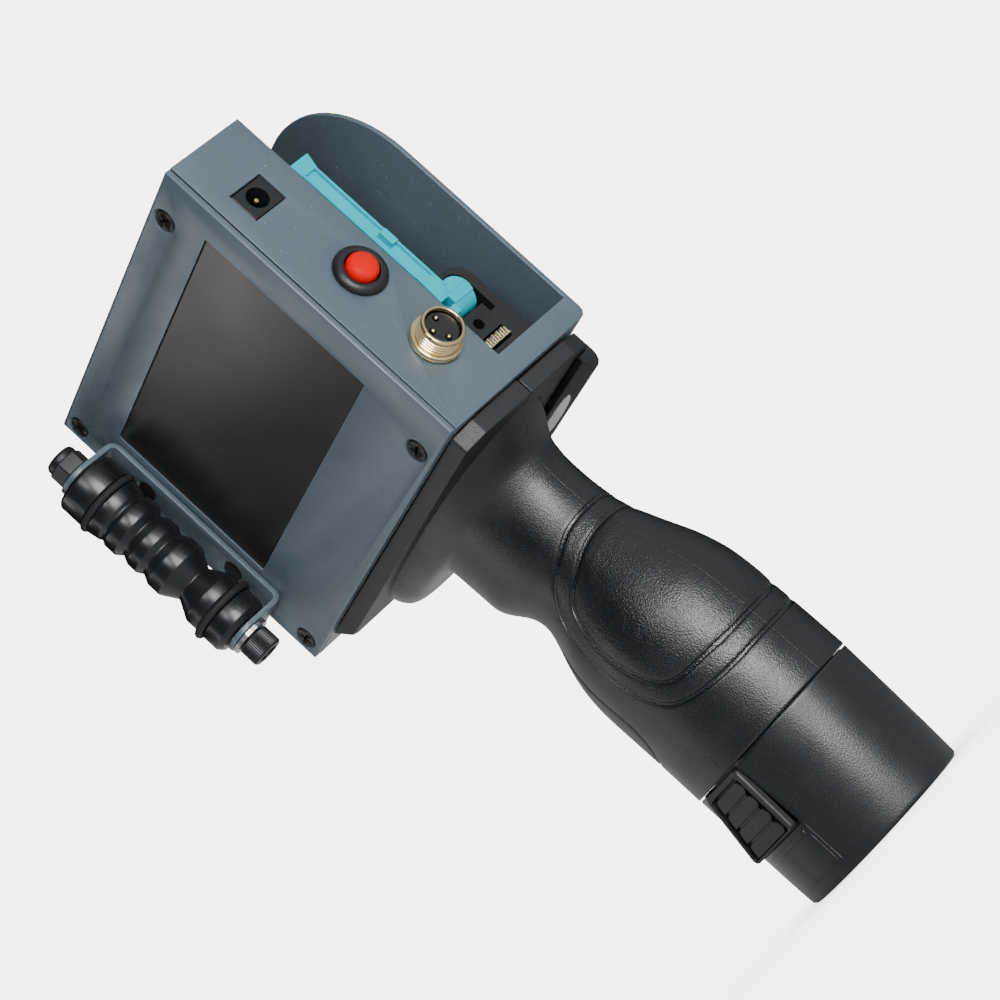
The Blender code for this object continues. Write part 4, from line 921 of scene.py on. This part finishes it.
def axle():
    """Socket head screw with a knurled head, washer and flanged lock nut."""
    x, y = ROLLER_AXIS
    head_top = EAR_BOTTOM - GAP - WASHER - GAP
    screw_end = 233.3
    top = screw_end - head_top

    def knurl(turn, radius, height):
        on_head = radius > 4.5 and -5.7 < height < -0.4
        return 0.10 * math.cos(48 * turn) if on_head else 0.0

    profile = [(0.01, top), (2.5, top), (2.95, top - 0.5), (2.95, 0.0), (4.6, 0.0), (4.78, -0.3),
               (4.78, -0.5), (4.78, -5.5), (4.7, -5.7), (4.3, -6.1), (3.05, -6.1), (3.0, -6.0),
               (2.9, -3.2), (0.01, -3.0)]
    piece("socket_screw", turned_mesh("screw", profile, (x, y, head_top), "Z", 192, knurl),
          [OXIDE], "printer", ["axle_screw"], angle=30)
    bm = bmesh.new()
    base = (x, y, EAR_TOP + GAP)
    prism(bm, arc((0.0, 0.0), 5.7, 15, 315, 60), Matrix.Translation(base), 0.0, 4.9, edge=0.5,
          segments=3)
    collar = soft_profile([(0.01, 7.15), (3.2, 7.15), (3.4, 6.7), (3.7, 7.1), (4.2, 7.1),
                           (4.75, 6.3), (4.75, 4.5), (0.01, 4.5)], 0.3)
    bm.from_mesh(turned_mesh("collar", collar, base, "Z", 64))
    piece("lock_nut", from_bmesh("lock_nut", bm), [OXIDE], "printer", ["axle_nut"],
          angle=30, flat=True)


def finishes():
    """Materials for the CAD pieces that stay as they are."""
    refinish(BLACK, "pen_stall", "dc_jack", "connector_insert", "button_switch", "trigger",
             "trigger_switch", "battery_contacts", "underside_rail")
    refinish(OXIDE, "handle_screw_1", "handle_screw_2", "handle_screw_3", "mount_screw_1",
             "mount_screw_2", "mount_screw_3", "mount_screw_4", "bracket_screw_1",
             "bracket_screw_2")
    refinish(STEEL, "axle_washer", "button_nut", "latch_pin", "button_spring", "trigger_spring",
             "latch_spring_left", "latch_spring_right")
    refinish(NICKEL, "connector_nut", "dc_jack_pin")
    refinish(SCREEN, "lcd_glass", "lcd_module")
    refinish(BOARD, "main_board")
    refinish(INLAY, "rail_inlay")
    refinish(smooth_plastic("cell_sleeve", (0.02, 0.16, 0.42), 0.35), "battery_cell_1",
             "battery_cell_2", "battery_cell_3")


# ---- stage, light and camera ----------------------------------------------------------------

def stage():
    """A pale floor that glows evenly white to the camera, with a painted contact shadow: its glow
    is dimmed close to what stands on it.
    """
    floor = bpy.data.meshes.new("floor")
    reach = 6.0
    floor.from_pydata([(-reach, -reach, 0), (reach, -reach, 0), (reach, reach, 0),
                       (-reach, reach, 0)], [], [(0, 1, 2, 3)])
    obj = bpy.data.objects.new("floor", floor)
    bpy.context.scene.collection.objects.link(obj)
    f = Finish("pale_floor", (0.9, 0.9, 0.9), 0.7)
    f.add_bump(f.noise(300, 2), 0.02)
    # Painted contact shadow: ambient occlusion dims the floor's glow near the printer.
    shade = f.tree.nodes.new("ShaderNodeAmbientOcclusion")
    shade.inputs["Distance"].default_value = 0.12
    glow = f.tree.nodes.new("ShaderNodeEmission")
    f.link(f.ranged(shade.outputs["AO"], 0.3, 1.0, 1.6, 5.5), glow.inputs["Strength"])
    mix = f.tree.nodes.new("ShaderNodeMixShader")
    ray = f.tree.nodes.new("ShaderNodeLightPath")
    f.link(ray.outputs["Is Camera Ray"], mix.inputs["Fac"])
    f.link(f.shader.outputs["BSDF"], mix.inputs[1])
    f.link(glow.outputs["Emission"], mix.inputs[2])
    f.link(mix.outputs["Shader"], f.tree.nodes["Material Output"].inputs["Surface"])
    floor.materials.append(f.material)


def area_light(name, place, target, size, power, height=None):
    """A white lamp that faces a target: a disc, or a rectangle if it has a height."""
    light = bpy.data.lights.new(name, "AREA")
    light.shape = "RECTANGLE" if height else "DISK"
    light.size = size
    if height:
        light.size_y = height
    light.energy = power
    obj = bpy.data.objects.new(name, light)
    obj.location = place
    obj.rotation_euler = (Vector(target) - Vector(place)).to_track_quat("-Z", "Y").to_euler()
    obj.visible_camera = False
    bpy.context.scene.collection.objects.link(obj)


def world():
    """White behind the object, and a dim room that is brighter towards the sockets' side."""
    made = bpy.data.worlds.new("studio")
    made.use_nodes = True
    tree = made.node_tree
    room = tree.nodes["Background"]
    white = tree.nodes.new("ShaderNodeBackground")
    white.inputs["Color"].default_value = (1, 1, 1, 1)
    white.inputs["Strength"].default_value = 5.5
    place = tree.nodes.new("ShaderNodeTexCoord").outputs["Generated"]
    towards = tree.nodes.new("ShaderNodeVectorMath")
    towards.operation = "DOT_PRODUCT"
    towards.inputs[1].default_value = Vector((0.80, 0.52, 0.25)).normalized()
    tree.links.new(place, towards.inputs[0])
    level = tree.nodes.new("ShaderNodeMapRange")
    level.interpolation_type = "SMOOTHSTEP"
    for socket, number in (("From Min", 0.1), ("From Max", 1.0), ("To Min", 0.02),
                           ("To Max", 0.60)):
        level.inputs[socket].default_value = number
    tree.links.new(towards.outputs["Value"], level.inputs["Value"])
    tree.links.new(level.outputs["Result"], room.inputs["Strength"])
    room.inputs["Color"].default_value = (0.93, 0.97, 1.0, 1)
    mix = tree.nodes.new("ShaderNodeMixShader")
    ray = tree.nodes.new("ShaderNodeLightPath")
    tree.links.new(ray.outputs["Is Camera Ray"], mix.inputs["Fac"])
    tree.links.new(room.outputs["Background"], mix.inputs[1])
    tree.links.new(white.outputs["Background"], mix.inputs[2])
    tree.links.new(mix.outputs["Shader"], tree.nodes["World Output"].inputs["Surface"])
    bpy.context.scene.world = made


def lights():
    """A big and a small softbox on the sockets' side, and white cards beyond the print face."""
    middle = Vector((0, 0, 0.12))
    away = 1.1
    area_light("softbox", middle + away * Vector((0.955, -0.25, 0.04)), middle, 0.62, 14.5)
    card = (-0.20, -0.12, 0.02)
    area_light("low_card", card, (1, -0.12, 0.02), 0.50, 0.34, height=0.34)
    area_light("high_card", (-0.20, -0.19, 0.285), (1, -0.19, 0.285), 0.08, 0.050)
    area_light("plate_card", (-0.20, -0.36, 0.22), (1, -0.36, 0.22), 0.20, 0.26, height=0.24)
    area_light("side_box", middle + away * Vector((0.70, -0.62, 0.36)), middle, 0.32, 2.7)


def camera():
    """A long lens, rolled so that the upright printer seems to lie on its front."""
    data = bpy.data.cameras.new("camera")
    data.lens = 108.3
    data.sensor_width = 36.0
    data.clip_start = 0.01
    obj = bpy.data.objects.new("camera", data)
    place = Matrix.Translation((0.6292, -0.4638, 0.0373))
    forward = Vector((-0.8015, 0.5860, 0.1187)).normalized()
    up = Vector((0.5007, 0.5493, 0.6690))
    right = forward.cross(up).normalized()
    up = right.cross(forward)
    obj.matrix_world = place @ Matrix((right, up, -forward)).transposed().to_4x4()
    bpy.context.scene.collection.objects.link(obj)
    bpy.context.scene.camera = obj


# ---- build ----------------------------------------------------------------------------------

finishes()
bevelled_copy("chassis_shell", "head_shell", PAINT, "printer", 0.35)
bevelled_copy("screen_plate", "front_plate", PAINT, "printer", 0.4)
bevelled_copy("roller_bracket", "roller_yoke", PAINT, "printer", 0.2)
cartridge_latch()
handle()
flange()
battery()
cross_screws()
connector()
contact_strip()
button()
roller()
axle()
stage()
world()
lights()
camera()
